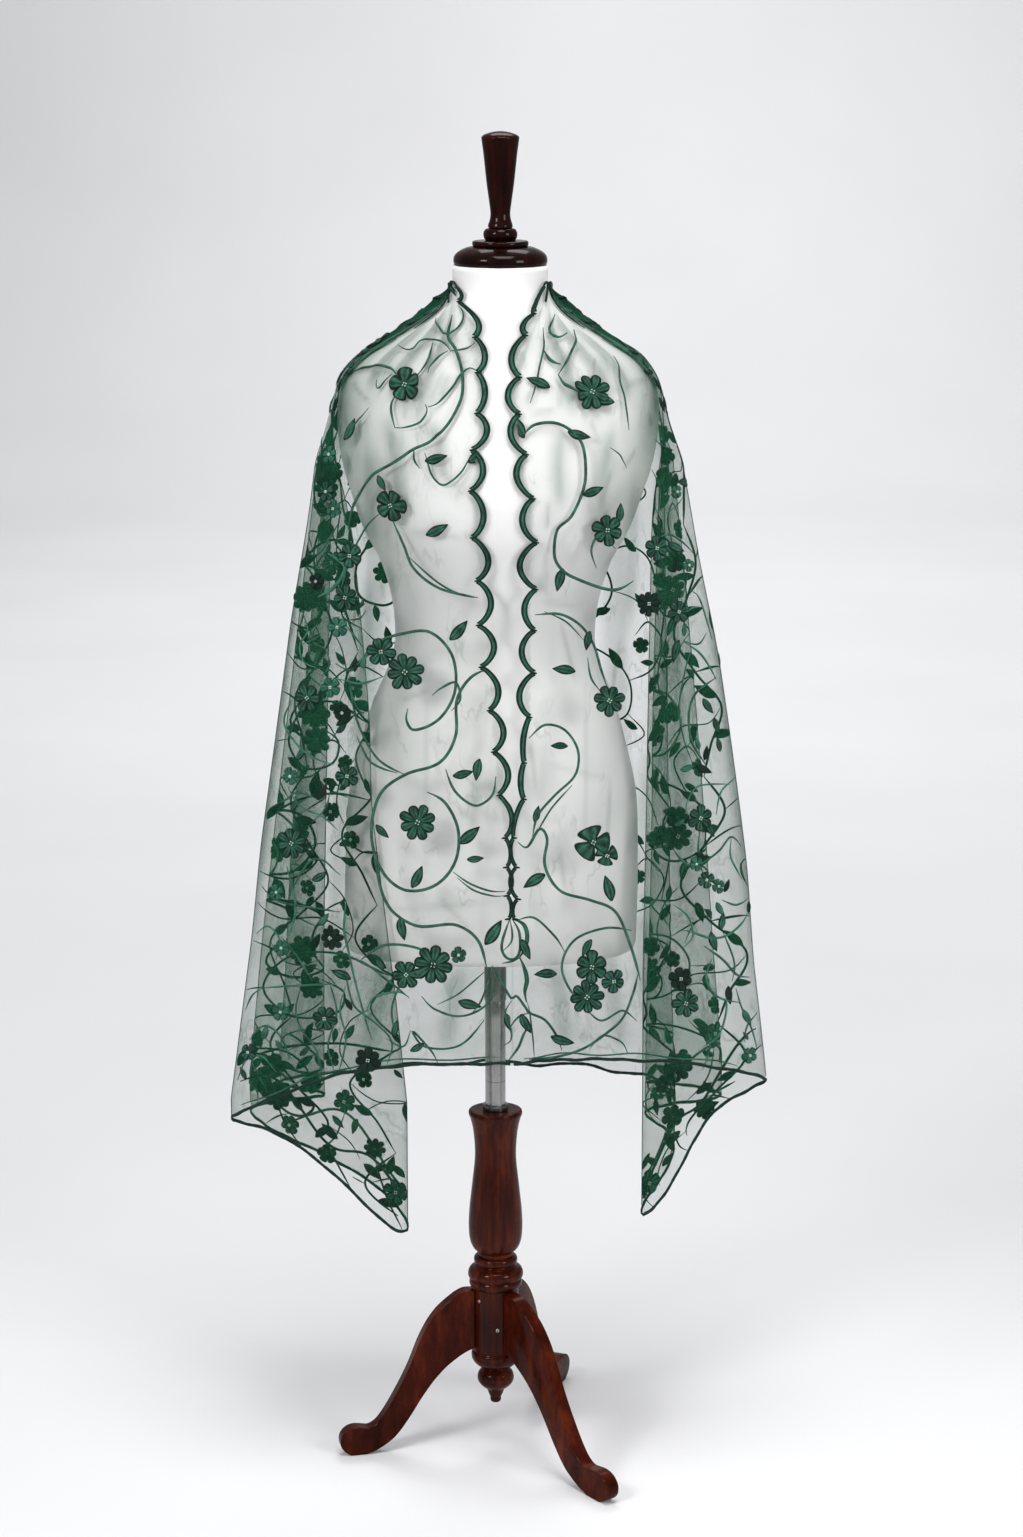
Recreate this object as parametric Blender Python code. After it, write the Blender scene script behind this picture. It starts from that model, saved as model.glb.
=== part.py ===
"""Net dupatta draped on a limbless white dress form with a turned wooden tripod stand.

Metres, +Z up. The viewer stands at -Y and the viewer's left is -X. The dupatta is one
rectangle of embroidered net: its scalloped long edge goes round the back of the neck and
down both centre fronts, its short ends make the front hem, and its outer long edge hangs
at the sides and the back.
"""
import math

import bmesh
import bpy
from mathutils import Vector

# Driving sizes of the form and its stand
NECK_TOP = 1.4700
FORM_BOTTOM = 0.6450
FORM_LEAN = 0.0155
FORM_OFFSET = -0.0060
COLUMN_TOP = 0.4366
LEG_THICKNESS = 0.018
LEG_EDGE = 0.0018
HUB_RADIUS = 0.0285
POLE_RADIUS = 0.0125
SLEEVE_RADIUS = 0.0136
SLEEVE_BOTTOM = 0.577
SEAT_GAP = 0.0003

# Driving sizes of the dupatta
NET_WALL = 0.0012
COLLAR_TOP = 1.449
SHOULDER_LEVEL = 1.300
HEM_LEVEL = 0.480
FORM_CLEARANCE = 0.0028
SEAM_GAP = 0.0006
CORD_LIFT = 0.0010
TAPE_LIFT = 0.0014
FLOWER_LIFT = 0.0005
CORD_WIDTH = 0.0055
CORD_THICKNESS = 0.0016
TAPE_WIDTH = 0.009
SCALLOPS = 19
SCALLOP_DEPTH = 0.0075
PETAL_RISE = 0.0018
FLOWER_RISE = 0.0030
BACK_RIPPLE = 0.009
RIPPLE_LENGTH = 1.25
FLOWER_RADIUS = 0.021

# Dress form, a row for each level: height, half width, depth in front, depth behind
FORM_RINGS = (
    (1.4700, 0.0563, 0.0540, 0.0560),
    (1.4450, 0.0565, 0.0545, 0.0570),
    (1.4292, 0.0620, 0.0580, 0.0600),
    (1.4205, 0.0710, 0.0595, 0.0615),
    (1.4120, 0.0830, 0.0610, 0.0630),
    (1.3950, 0.1110, 0.0640, 0.0670),
    (1.3800, 0.1380, 0.0670, 0.0710),
    (1.3650, 0.1620, 0.0710, 0.0770),
    (1.3500, 0.1770, 0.0770, 0.0840),
    (1.3300, 0.1865, 0.0840, 0.0900),
    (1.2880, 0.1900, 0.0980, 0.0980),
    (1.2400, 0.1840, 0.1130, 0.1000),
    (1.2000, 0.1720, 0.1200, 0.0980),
    (1.1600, 0.1580, 0.1180, 0.0930),
    (1.1200, 0.1370, 0.1060, 0.0850),
    (1.0670, 0.1223, 0.0920, 0.0780),
    (1.0120, 0.1215, 0.0870, 0.0800),
    (0.9467, 0.1460, 0.0950, 0.0980),
    (0.8900, 0.1620, 0.1010, 0.1120),
    (0.8395, 0.1735, 0.1040, 0.1200),
    (0.7500, 0.1775, 0.1050, 0.1190),
    (0.6620, 0.1775, 0.1040, 0.1140),
    (FORM_BOTTOM, 0.1755, 0.1020, 0.1120),
)
FORM_SQUARENESS = 2.25

# Legs of the stand: bearing in degrees, reach compared with the pattern leg
LEGS = (
    (192.0, 1.0),
    (306.0, 1.254),
    (68.5, 1.25),
)

# Below the form its outline fades, so that the folds close in under it
FADE_RINGS = (
    (0.5600, 0.1600, 0.0850, 0.0950),
    (0.2500, 0.0600, 0.0400, 0.0400),
)

# Centre front edges of the net: height, x of the left edge, x of the right edge
FRONT_EDGES = (
    (1.449, -0.0440, 0.0560),
    (1.425, -0.0400, 0.0540),
    (1.400, -0.0330, 0.0460),
    (1.360, -0.0225, 0.0330),
    (1.310, -0.0175, 0.0260),
    (1.250, -0.0200, 0.0300),
    (1.190, -0.0215, 0.0390),
    (1.120, -0.0150, 0.0400),
    (1.050, -0.0090, 0.0420),
    (0.970, -0.0040, 0.0410),
    (0.900, 0.0020, 0.0370),
    (0.830, 0.0110, 0.0290),
    (0.770, 0.0170, 0.0225),
    (0.700, 0.0180, 0.0225),
    (0.537, 0.0185, 0.0225),
)

# Folds of one half, from the centre front to the centre back: share of the way round at
# the neck, then x and y at shoulder level, x and y at hem level, outward bow, hem height
LEFT_FOLDS = (
    (0.00, 0.018, -0.100, 0.018, -0.150, 0.000, 0.537),
    (0.12, 0.075, -0.102, 0.080, -0.158, 0.000, 0.540),
    (0.26, 0.133, -0.093, 0.165, -0.150, 0.000, 0.532),
    (0.37, 0.176, -0.074, 0.240, -0.128, 0.002, 0.498),
    (0.43, 0.202, -0.052, 0.315, -0.104, -0.002, 0.458),
    (0.46, 0.209, -0.038, 0.314, -0.084, -0.002, 0.447),
    (0.49, 0.202, -0.028, 0.225, -0.098, 0.002, 0.430),
    (0.52, 0.186, -0.020, 0.111, -0.127, 0.000, 0.305),
    (0.54, 0.182, -0.008, 0.086, -0.113, 0.000, 0.322),
    (0.56, 0.188, 0.002, 0.150, -0.093, 0.000, 0.385),
    (0.58, 0.200, 0.010, 0.262, -0.042, 0.000, 0.417),
    (0.61, 0.206, 0.018, 0.298, -0.004, 0.002, 0.430),
    (0.63, 0.206, 0.029, 0.297, 0.017, 0.002, 0.436),
    (0.65, 0.199, 0.038, 0.212, 0.030, 0.000, 0.440),
    (0.67, 0.196, 0.048, 0.196, 0.047, 0.000, 0.441),
    (0.70, 0.200, 0.057, 0.268, 0.074, 0.000, 0.442),
    (0.73, 0.195, 0.067, 0.266, 0.096, 0.000, 0.444),
    (0.79, 0.168, 0.085, 0.180, 0.124, 0.000, 0.446),
    (0.89, 0.090, 0.104, 0.085, 0.148, 0.000, 0.448),
    (1.00, 0.000, 0.108, 0.000, 0.152, 0.000, 0.449),
)
RIGHT_FOLDS = (
    (0.00, 0.026, -0.100, 0.0225, -0.150, 0.000, 0.537),
    (0.12, 0.082, -0.102, 0.085, -0.158, 0.000, 0.546),
    (0.26, 0.137, -0.093, 0.165, -0.150, 0.000, 0.542),
    (0.37, 0.178, -0.074, 0.250, -0.130, 0.004, 0.533),
    (0.43, 0.200, -0.052, 0.339, -0.098, 0.011, 0.505),
    (0.46, 0.207, -0.038, 0.337, -0.078, 0.012, 0.494),
    (0.49, 0.204, -0.029, 0.262, -0.084, 0.008, 0.464),
    (0.52, 0.194, -0.021, 0.232, -0.098, 0.002, 0.388),
    (0.54, 0.184, -0.013, 0.188, -0.121, 0.000, 0.331),
    (0.56, 0.182, -0.003, 0.175, -0.106, 0.000, 0.340),
    (0.58, 0.188, 0.006, 0.218, -0.083, 0.000, 0.385),
    (0.61, 0.198, 0.014, 0.230, -0.055, 0.000, 0.420),
    (0.63, 0.192, 0.024, 0.184, -0.030, 0.000, 0.436),
    (0.65, 0.192, 0.034, 0.190, -0.006, 0.000, 0.440),
    (0.67, 0.201, 0.044, 0.286, 0.022, 0.006, 0.441),
    (0.70, 0.202, 0.054, 0.292, 0.050, 0.006, 0.442),
    (0.73, 0.195, 0.065, 0.215, 0.080, 0.000, 0.444),
    (0.79, 0.168, 0.085, 0.180, 0.122, 0.000, 0.446),
    (0.89, 0.090, 0.104, 0.085, 0.148, 0.000, 0.448),
    (1.00, 0.000, 0.108, 0.000, 0.152, 0.000, 0.449),
)

# Stretches of the halves that show, parted on the flats between folds: name, first row and
# last row on the left, first row and last row on the right, samples a row
STRETCHES = (
    ("front_fall", 0.0, 3.5, 0.0, 3.5, 3),
    ("corner_fold", 3.5, 6.5, 3.5, 7.5, 2),
    ("inner_fold", 6.5, 9.5, 7.5, 9.5, 2),
    ("side_fold", 9.5, 12.5, 9.5, 13.5, 2),
    ("back_fold", 12.5, 16.5, 13.5, 16.5, 2),
    ("back_fall", 16.5, 19.0, 16.5, 19.0, 4),
)

# Cross-sections of the net: the form's own levels, then steps down to the wavy hem
NET_LEVELS = (COLLAR_TOP,) + tuple(row[0] for row in FORM_RINGS[2:-1])
HEM_STEPS = 3

# Raised flowers: name, side, fold position across, height, radius share, petals
FLOWERS = (
    ("shoulder_left", "left", 1.26, 1.337, 0.95, 8),
    ("chest_left", "left", 1.72, 1.201, 0.85, 6),
    ("waist_left", "left", 1.45, 1.007, 1.05, 8),
    ("hip_left", "left", 1.28, 0.830, 1.00, 8),
    ("hem_left", "left", 1.09, 0.660, 1.20, 8),
    ("shoulder_right", "right", 1.26, 1.329, 1.00, 8),
    ("chest_right", "right", 1.76, 1.172, 0.85, 6),
    ("waist_right", "right", 1.77, 0.973, 0.85, 6),
    ("hip_right", "right", 1.48, 0.806, 1.00, 6),
    ("hem_right", "right", 1.58, 0.662, 0.85, 6),
    ("low_right", "right", 1.32, 0.614, 1.00, 8),
)

# Main scroll cords on the front: name, side, then rows of fold position and height
VINES = (
    ("neck", "left", ((0.45, 1.406), (1.15, 1.385), (0.75, 1.338), (0.62, 1.290), (1.15, 1.255),
                      (2.00, 1.240))),
    ("bust", "left", ((1.62, 1.176), (1.35, 1.128), (0.85, 1.106), (0.35, 1.095))),
    ("waist", "left", ((1.40, 1.054), (1.00, 1.054), (0.68, 1.027), (0.68, 0.986), (0.95, 0.950),
                       (1.35, 0.948))),
    ("hip", "left", ((0.36, 0.990), (0.55, 0.945), (0.95, 0.898), (1.50, 0.880), (1.86, 0.840),
                     (1.78, 0.780), (1.45, 0.746), (1.05, 0.750), (0.78, 0.785), (0.78, 0.840))),
    ("skirt", "left", ((1.92, 0.775), (1.72, 0.730), (1.30, 0.706), (0.82, 0.704), (0.50, 0.675))),
    ("bust", "right", ((0.34, 1.288), (0.75, 1.296), (1.18, 1.268), (1.20, 1.220), (0.88, 1.184),
                       (0.60, 1.172))),
    ("waist", "right", ((0.34, 1.074), (0.80, 1.074), (1.35, 1.050))),
    ("hip", "right", ((0.36, 0.942), (0.80, 0.938), (1.10, 0.905), (0.90, 0.868), (0.42, 0.836))),
    ("skirt", "right", ((0.60, 0.820), (0.66, 0.775), (0.95, 0.748), (1.45, 0.736), (1.85, 0.712),
                        (2.05, 0.670))),
)

MATERIALS = {
    "form_cover": ((0.86, 0.86, 0.84), 0.65, 0.0),
    "dark_wood": ((0.10, 0.022, 0.012), 0.25, 0.0),
    "steel": ((0.62, 0.61, 0.60), 0.30, 1.0),
    "green_net": ((0.05, 0.20, 0.14), 0.80, 0.0),
    "green_thread": ((0.015, 0.13, 0.075), 0.45, 0.0),
}


def clear_scene():
    for item in list(bpy.data.objects):
        bpy.data.objects.remove(item, do_unlink=True)


def make_material(name):
    colour, roughness, metallic = MATERIALS[name]
    material = bpy.data.materials.new(name)
    material.use_nodes = True
    shader = material.node_tree.nodes["Principled BSDF"]
    shader.inputs["Base Color"].default_value = (*colour, 1.0)
    shader.inputs["Roughness"].default_value = roughness
    shader.inputs["Metallic"].default_value = metallic
    return material


def add_object(name, mesh_builder, material):
    """Make one named object of a filled bmesh, with its faces pointing out."""
    bmesh.ops.recalc_face_normals(mesh_builder, faces=mesh_builder.faces)
    mesh = bpy.data.meshes.new(name)
    mesh_builder.to_mesh(mesh)
    mesh_builder.free()
    item = bpy.data.objects.new(name, mesh)
    bpy.context.collection.objects.link(item)
    mesh.materials.append(material)
    mesh.shade_smooth()
    mesh.set_sharp_from_angle(angle=math.radians(40.0))
    return item


def mix(a, b, share):
    return a + (b - a) * share


def ease(value, low, high):
    share = min(max((value - low) / (high - low), 0.0), 1.0)
    return share * share * (3.0 - 2.0 * share)


def table_at(rows, height):
    """Values of a table whose first column is a falling height, joined smoothly."""
    if height >= rows[0][0]:
        return rows[0][1:]
    if height <= rows[-1][0]:
        return rows[-1][1:]
    at = next(i for i in range(len(rows) - 1) if height >= rows[i + 1][0])
    before = rows[max(at - 1, 0)]
    start = rows[at]
    end = rows[at + 1]
    after = rows[min(at + 2, len(rows) - 1)]
    span = start[0] - end[0]
    share = (start[0] - height) / span
    values = []
    for column in range(1, len(start)):
        slope_in = (end[column] - before[column]) / (before[0] - end[0]) * span
        slope_out = (after[column] - start[column]) / (start[0] - after[0]) * span
        square = share * share
        cube = square * share
        values.append((2.0 * cube - 3.0 * square + 1.0) * start[column]
                      + (cube - 2.0 * square + share) * slope_in
                      + (3.0 * square - 2.0 * cube) * end[column]
                      + (cube - square) * slope_out)
    return values


def form_outline(height):
    return table_at(FORM_RINGS + FADE_RINGS, height)


def form_lean(height):
    """Sideways place of the form's middle, which leans slightly off the pole."""
    return FORM_OFFSET + FORM_LEAN * max(height - FORM_BOTTOM, 0.0)


def form_point(angle, height):
    """Point of the form's skin; angle 0 is the front, a half turn is the back."""
    half, front, back = form_outline(height)
    power = 2.0 / FORM_SQUARENESS
    sine = math.sin(angle)
    cosine = math.cos(angle)
    x = math.copysign(abs(sine) ** power, sine) * half
    y = -math.copysign(abs(cosine) ** power, cosine) * (front if cosine > 0.0 else back)
    return Vector((x + form_lean(height), y, height))


def form_normal(angle, height):
    step = 0.002
    across = form_point(angle + 0.02, height) - form_point(angle - 0.02, height)
    down = form_point(angle, height - step) - form_point(angle, height + step)
    return down.cross(across).normalized()


def form_angle_at(x, height):
    """Angle at which the front of the form has the given x."""
    half = form_outline(height)[0]
    share = min(abs(x) / half, 1.0) ** (FORM_SQUARENESS / 2.0)
    return math.copysign(math.asin(share), x)


def push_off_form(x, y, height):
    """Move a point of the net off the form, keeping the order of the layers."""
    half, front, back = form_outline(height)
    depth = front if y < 0.0 else back
    size = ((abs(x) / half) ** FORM_SQUARENESS
            + (abs(y) / depth) ** FORM_SQUARENESS) ** (1.0 / FORM_SQUARENESS)
    size = max(size, 0.05)
    limit = 1.0 + FORM_CLEARANCE / min(depth, half)
    softness = 0.045
    room = (size - limit) / softness
    if room > 30.0:
        return x, y
    eased = limit + softness * math.log1p(math.exp(room))
    return x * eased / size, y * eased / size


def spline_weights(share):
    square = share * share
    cube = square * share
    return ((1.0 - 3.0 * share + 3.0 * square - cube) / 6.0,
            (4.0 - 6.0 * square + 3.0 * cube) / 6.0,
            (1.0 + 3.0 * share + 3.0 * square - 3.0 * cube) / 6.0,
            cube / 6.0)


def fold_values(folds, position):
    """Smooth row of the fold table at a position between its rows."""
    last = len(folds) - 1
    at = min(int(position), last - 1)
    weights = spline_weights(position - at)
    values = [0.0] * len(folds[0])
    for weight, row in zip(weights, range(at - 1, at + 3)):
        inside = min(max(row, 0), last)
        mirror = 2 * inside - row
        for column in range(len(values)):
            value = folds[inside][column]
            if row != inside:
                value = 2.0 * value - folds[mirror][column]
            values[column] += weight * value
    return values


def net_point(side, position, height):
    """Inner skin of the net on one side, at a fold position and a height."""
    sign = -1.0 if side == "left" else 1.0
    folds = LEFT_FOLDS if side == "left" else RIGHT_FOLDS
    share, x_top, y_top, x_hem, y_hem, bow, _ = fold_values(folds, position)
    lean = form_lean(height)
    edge = (table_at(FRONT_EDGES, height)[0 if side == "left" else 1] - lean) * sign
    fall = min((SHOULDER_LEVEL - height) / (SHOULDER_LEVEL - HEM_LEVEL), 1.0)
    hang_x = mix(x_top, x_hem, fall) + 4.0 * bow * max(fall, 0.0) * (1.0 - fall)
    hang_y = mix(y_top, y_hem, fall) + back_ripple(folds, position, fall)
    edge_pull = (1.0 - ease(position, 0.0, 2.2)) * (edge - mix(folds[0][1], folds[0][3], fall))
    hang_x, hang_y = push_off_form(sign * (hang_x + edge_pull), hang_y, height)
    edge_angle = form_angle_at(edge, height)
    angle = sign * mix(edge_angle, math.pi, share)
    hug = form_point(angle, height) + form_normal(angle, height) * FORM_CLEARANCE
    loose = 1.0 - ease(height, 1.235, 1.345)
    return Vector((mix(hug.x, hang_x + lean, loose), mix(hug.y, hang_y, loose), height))


def back_ripple(folds, position, fall):
    """Soft standing folds of the back, deepest at the hem and none at the shoulders."""
    from_back = len(folds) - 1.0 - position
    reach = 1.0 - ease(from_back, 1.6, 3.2)
    wave = math.cos(math.tau * from_back / RIPPLE_LENGTH)
    return BACK_RIPPLE * max(fall, 0.0) ** 1.5 * reach * wave


def hem_height(side, position):
    folds = LEFT_FOLDS if side == "left" else RIGHT_FOLDS
    return fold_values(folds, position)[6]


def net_normal(side, position, height):
    """Direction out of the net's outer face."""
    step = 0.004
    last = len(LEFT_FOLDS) - 1.0
    low = max(position - 0.05, 0.0)
    high = min(position + 0.05, last)
    across = net_point(side, high, height) - net_point(side, low, height)
    down = net_point(side, position, height - step) - net_point(side, position, height + step)
    normal = across.cross(down).normalized()
    return normal if side == "left" else -normal


def net_level(side, position, row):
    """Height of a row of the net's grid, the last rows reaching the wavy hem."""
    if row < len(NET_LEVELS):
        return NET_LEVELS[row]
    share = (row - len(NET_LEVELS) + 1) / HEM_STEPS
    return mix(NET_LEVELS[-1], hem_height(side, position), share)


def closed_wall(name, inner, outer, material):
    """Closed wall between two grids of points of the same size."""
    mesh_builder = bmesh.new()
    rows = len(inner)
    columns = len(inner[0])
    skins = [[[mesh_builder.verts.new(p) for p in row] for row in grid] for grid in (inner, outer)]
    for skin, turn in ((skins[0], False), (skins[1], True)):
        for r in range(rows - 1):
            for c in range(columns - 1):
                quad = [skin[r][c], skin[r][c + 1], skin[r + 1][c + 1], skin[r + 1][c]]
                mesh_builder.faces.new(reversed(quad) if turn else quad)
    rim = ([(0, c) for c in range(columns)] + [(r, columns - 1) for r in range(1, rows)]
           + [(rows - 1, c) for c in range(columns - 2, -1, -1)]
           + [(r, 0) for r in range(rows - 2, 0, -1)])
    for here, there in zip(rim, rim[1:] + rim[:1]):
        mesh_builder.faces.new((skins[0][here[0]][here[1]], skins[1][here[0]][here[1]],
                                skins[1][there[0]][there[1]], skins[0][there[0]][there[1]]))
    return add_object(name, mesh_builder, material)


def turned_piece(name, profile, material, middle=0.0, sides=18):
    """Solid of revolution about an upright axis, rows of radius and height from the top."""
    mesh_builder = bmesh.new()
    rings = []
    for radius, height in profile:
        if radius < 1e-6:
            rings.append([mesh_builder.verts.new((middle, 0.0, height))])
            continue
        turns = [math.tau * k / sides for k in range(sides)]
        rings.append([mesh_builder.verts.new((middle + radius * math.cos(turn),
                                              radius * math.sin(turn), height))
                      for turn in turns])
    for upper, lower in zip(rings, rings[1:]):
        for k in range(sides):
            n = (k + 1) % sides
            if len(upper) == 1:
                mesh_builder.faces.new((upper[0], lower[k], lower[n]))
            elif len(lower) == 1:
                mesh_builder.faces.new((upper[k], lower[0], upper[n]))
            else:
                mesh_builder.faces.new((upper[k], lower[k], lower[n], upper[n]))
    for ring in (rings[0], rings[-1]):
        if len(ring) > 1:
            mesh_builder.faces.new(ring)
    return add_object(name, mesh_builder, material)


def build_form(materials):
    """The limbless form: rings of the same outline as the net's clearance uses."""
    sides = 36
    heights = [row[0] for row in FORM_RINGS]
    mesh_builder = bmesh.new()
    rings = []
    for height in heights:
        rings.append([mesh_builder.verts.new(form_point(math.tau * k / sides, height))
                      for k in range(sides)])
    for upper, lower in zip(rings, rings[1:]):
        for k in range(sides):
            n = (k + 1) % sides
            mesh_builder.faces.new((upper[k], upper[n], lower[n], lower[k]))
    mesh_builder.faces.new(rings[0])
    mesh_builder.faces.new(rings[-1])
    add_object("dress_form", mesh_builder, materials["form_cover"])


def build_neck_cap(materials):
    base = NECK_TOP + SEAT_GAP
    profile = (
        (0.0000, 1.6250), (0.0120, 1.6232), (0.0219, 1.6184), (0.0161, 1.5646), (0.0117, 1.5310),
        (0.0124, 1.5230), (0.0146, 1.5155), (0.0132, 1.5128), (0.0182, 1.5112), (0.0200, 1.5056),
        (0.0172, 1.4992), (0.0326, 1.4984), (0.0330, 1.4928), (0.0460, 1.4878), (0.0540, 1.4810),
        (0.0552, 1.4755), (0.0545, base),
    )
    turned_piece("neck_cap", profile, materials["dark_wood"], form_lean(NECK_TOP))


def build_stand(materials):
    wood = materials["dark_wood"]
    turned_piece("pole_sleeve", ((SLEEVE_RADIUS, FORM_BOTTOM - SEAT_GAP),
                                 (SLEEVE_RADIUS, SLEEVE_BOTTOM)), materials["steel"])
    turned_piece("pole", ((POLE_RADIUS, SLEEVE_BOTTOM - SEAT_GAP),
                          (POLE_RADIUS, COLUMN_TOP + SEAT_GAP)), materials["steel"])
    column = (
        (0.0310, COLUMN_TOP), (0.0330, 0.4335), (0.0322, 0.4290), (0.0275, 0.4100),
        (0.0255, 0.3823), (0.0270, 0.3600), (0.0305, 0.3280), (0.0333, 0.2950), (0.0325, 0.2720),
        (0.0245, 0.2545), (0.0212, 0.2480),
    )
    turned_piece("column", column, wood)
    hub = (
        (0.0212, 0.2477), (0.0272, 0.2430), (0.0268, 0.2345), (0.0336, 0.2290), (0.0342, 0.2225),
        (0.0318, 0.2185), (0.0326, 0.2130), (HUB_RADIUS, 0.2068), (HUB_RADIUS, 0.1245),
        (0.0300, 0.1200), (0.0296, 0.1130), (0.0215, 0.1030), (0.0168, 0.0985), (0.0225, 0.0900),
        (0.0220, 0.0820), (0.0150, 0.0740), (0.0108, 0.0705), (0.0068, 0.0612), (0.0064, 0.0560),
        (0.0000, 0.0528),
    )
    turned_piece("hub_and_finial", hub, wood)
    for number, (bearing, reach) in enumerate(LEGS, 1):
        build_leg("leg_%d" % number, math.radians(bearing), reach, wood)


def build_leg(name, angle, reach, wood):
    """Flat sawn leg with an S curve and a scrolled foot that rests flat on the floor."""
    top_edge = ((0.0000, 0.2052), (0.0120, 0.2052), (0.0280, 0.1965), (0.0480, 0.1790),
                (0.0700, 0.1420), (0.0900, 0.0950), (0.1075, 0.0630), (0.1225, 0.0420),
                (0.1350, 0.0352), (0.1500, 0.0364), (0.1640, 0.0315), (0.1700, 0.0190),
                (0.1650, 0.0060), (0.1570, 0.0000))
    low_edge = ((0.1390, 0.0000), (0.1220, 0.0058), (0.0960, 0.0260), (0.0770, 0.0530),
                (0.0530, 0.0885), (0.0310, 0.1110), (0.0130, 0.1240), (0.0000, 0.1290))
    outline = top_edge + low_edge
    start = HUB_RADIUS + SEAT_GAP
    half = LEG_THICKNESS / 2.0
    mesh_builder = bmesh.new()
    layers = []
    for offset in (-half, half):
        layers.append([mesh_builder.verts.new((start + r * reach, offset, z)) for r, z in outline])
    count = len(outline)
    mesh_builder.faces.new(layers[0])
    mesh_builder.faces.new(list(reversed(layers[1])))
    for k in range(count):
        n = (k + 1) % count
        mesh_builder.faces.new((layers[0][k], layers[1][k], layers[1][n], layers[0][n]))
    bmesh.ops.recalc_face_normals(mesh_builder, faces=mesh_builder.faces)
    long_edges = [edge for edge in mesh_builder.edges
                  if abs(edge.verts[0].co.y - edge.verts[1].co.y) < 1e-6
                  and min(v.co.z for v in edge.verts) > 0.001
                  and min(v.co.x for v in edge.verts) > start + 0.001]
    bmesh.ops.bevel(mesh_builder, geom=long_edges, offset=LEG_EDGE, segments=1, affect="EDGES",
                    clamp_overlap=True)
    for vert in mesh_builder.verts:
        x, y = vert.co.x, vert.co.y
        vert.co.x = x * math.cos(angle) - y * math.sin(angle)
        vert.co.y = x * math.sin(angle) + y * math.cos(angle)
    add_object(name, mesh_builder, wood)


def build_net(materials):
    """Every stretch of the draped net as its own wall, a seam gap apart."""
    rows = len(NET_LEVELS) + HEM_STEPS
    for side in ("left", "right"):
        for stretch, *ends, samples in STRETCHES:
            first, last = ends[:2] if side == "left" else ends[2:]
            steps = round((last - first) * samples)
            places = [mix(first, last, k / steps) for k in range(steps + 1)]
            inner = []
            outer = []
            for row in range(rows):
                inner_row = []
                outer_row = []
                for place in places:
                    height = net_level(side, place, row)
                    point = net_point(side, place, height)
                    inner_row.append(point)
                    outer_row.append(point + net_normal(side, place, height) * NET_WALL)
                height = net_level(side, first, row)
                shift = seam_shift(side, first, height) if first > 0.0 else Vector()
                inner_row[0] += shift
                outer_row[0] += shift
                height = net_level(side, last, row)
                inner_row[-1] -= seam_shift(side, last, height)
                outer_row[-1] -= seam_shift(side, last, height)
                inner.append(inner_row)
                outer.append(outer_row)
            closed_wall("net_%s_%s" % (side, stretch), inner, outer, materials["green_net"])


def seam_shift(side, place, height):
    """Half a seam gap along the net's section."""
    low = max(place - 0.1, 0.0)
    high = min(place + 0.1, len(LEFT_FOLDS) - 1.0)
    along = net_point(side, high, height) - net_point(side, low, height)
    return along.normalized() * SEAM_GAP / 2.0


def trim_base(side, place, height, lift):
    return net_point(side, place, height) + net_normal(side, place, height) * (NET_WALL + lift)


def build_flower(name, side, place, height, share, petals, material):
    """Raised flower whose petals are rounded lobes lying on the net's outer face."""
    radius = FLOWER_RADIUS * share
    normal = net_normal(side, place, height)
    centre = trim_base(side, place, height, 0.0)
    across = Vector((0.0, 0.0, 1.0)).cross(normal).normalized()
    upward = normal.cross(across).normalized()
    count = petals * 4
    mesh_builder = bmesh.new()
    rims = []
    for lift in (0.0, 1.0):
        ring = []
        for k in range(count):
            turn = math.tau * k / count
            lobe = abs(math.cos(petals * turn / 2.0))
            reach = radius * (0.66 + 0.34 * lobe ** 0.6)
            ring.append((turn, reach, lift))
        rims.append(ring)
    highest = max(surface_rise(side, centre, normal, across, upward, t, r, place, height)
                  for t, r, _ in rims[0])
    base = centre + normal * (FLOWER_LIFT + highest)
    verts = []
    for ring in rims:
        level = base + normal * (PETAL_RISE * ring[0][2])
        verts.append([mesh_builder.verts.new(level + across * (r * math.cos(t))
                                             + upward * (r * math.sin(t))) for t, r, _ in ring])
    top = mesh_builder.verts.new(base + normal * FLOWER_RISE)
    for k in range(count):
        n = (k + 1) % count
        mesh_builder.faces.new((verts[0][k], verts[0][n], verts[1][n], verts[1][k]))
        mesh_builder.faces.new((verts[1][k], verts[1][n], top))
    mesh_builder.faces.new(list(reversed(verts[0])))
    add_object(name, mesh_builder, material)


def surface_rise(side, centre, normal, across, upward, turn, reach, place, height):
    """How far the net bulges past the plane of a flower at one point of its rim."""
    step_x = reach * math.cos(turn)
    step_z = reach * math.sin(turn)
    width = (net_point(side, place + 0.1, height) - net_point(side, place, height)).length / 0.1
    direction = net_point(side, place + 0.1, height) - net_point(side, place, height)
    sign = 1.0 if direction.dot(across) > 0.0 else -1.0
    there = trim_base(side, max(place + sign * step_x / width, 0.0), height + step_z, 0.0)
    return (there - centre).dot(normal)


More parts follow.
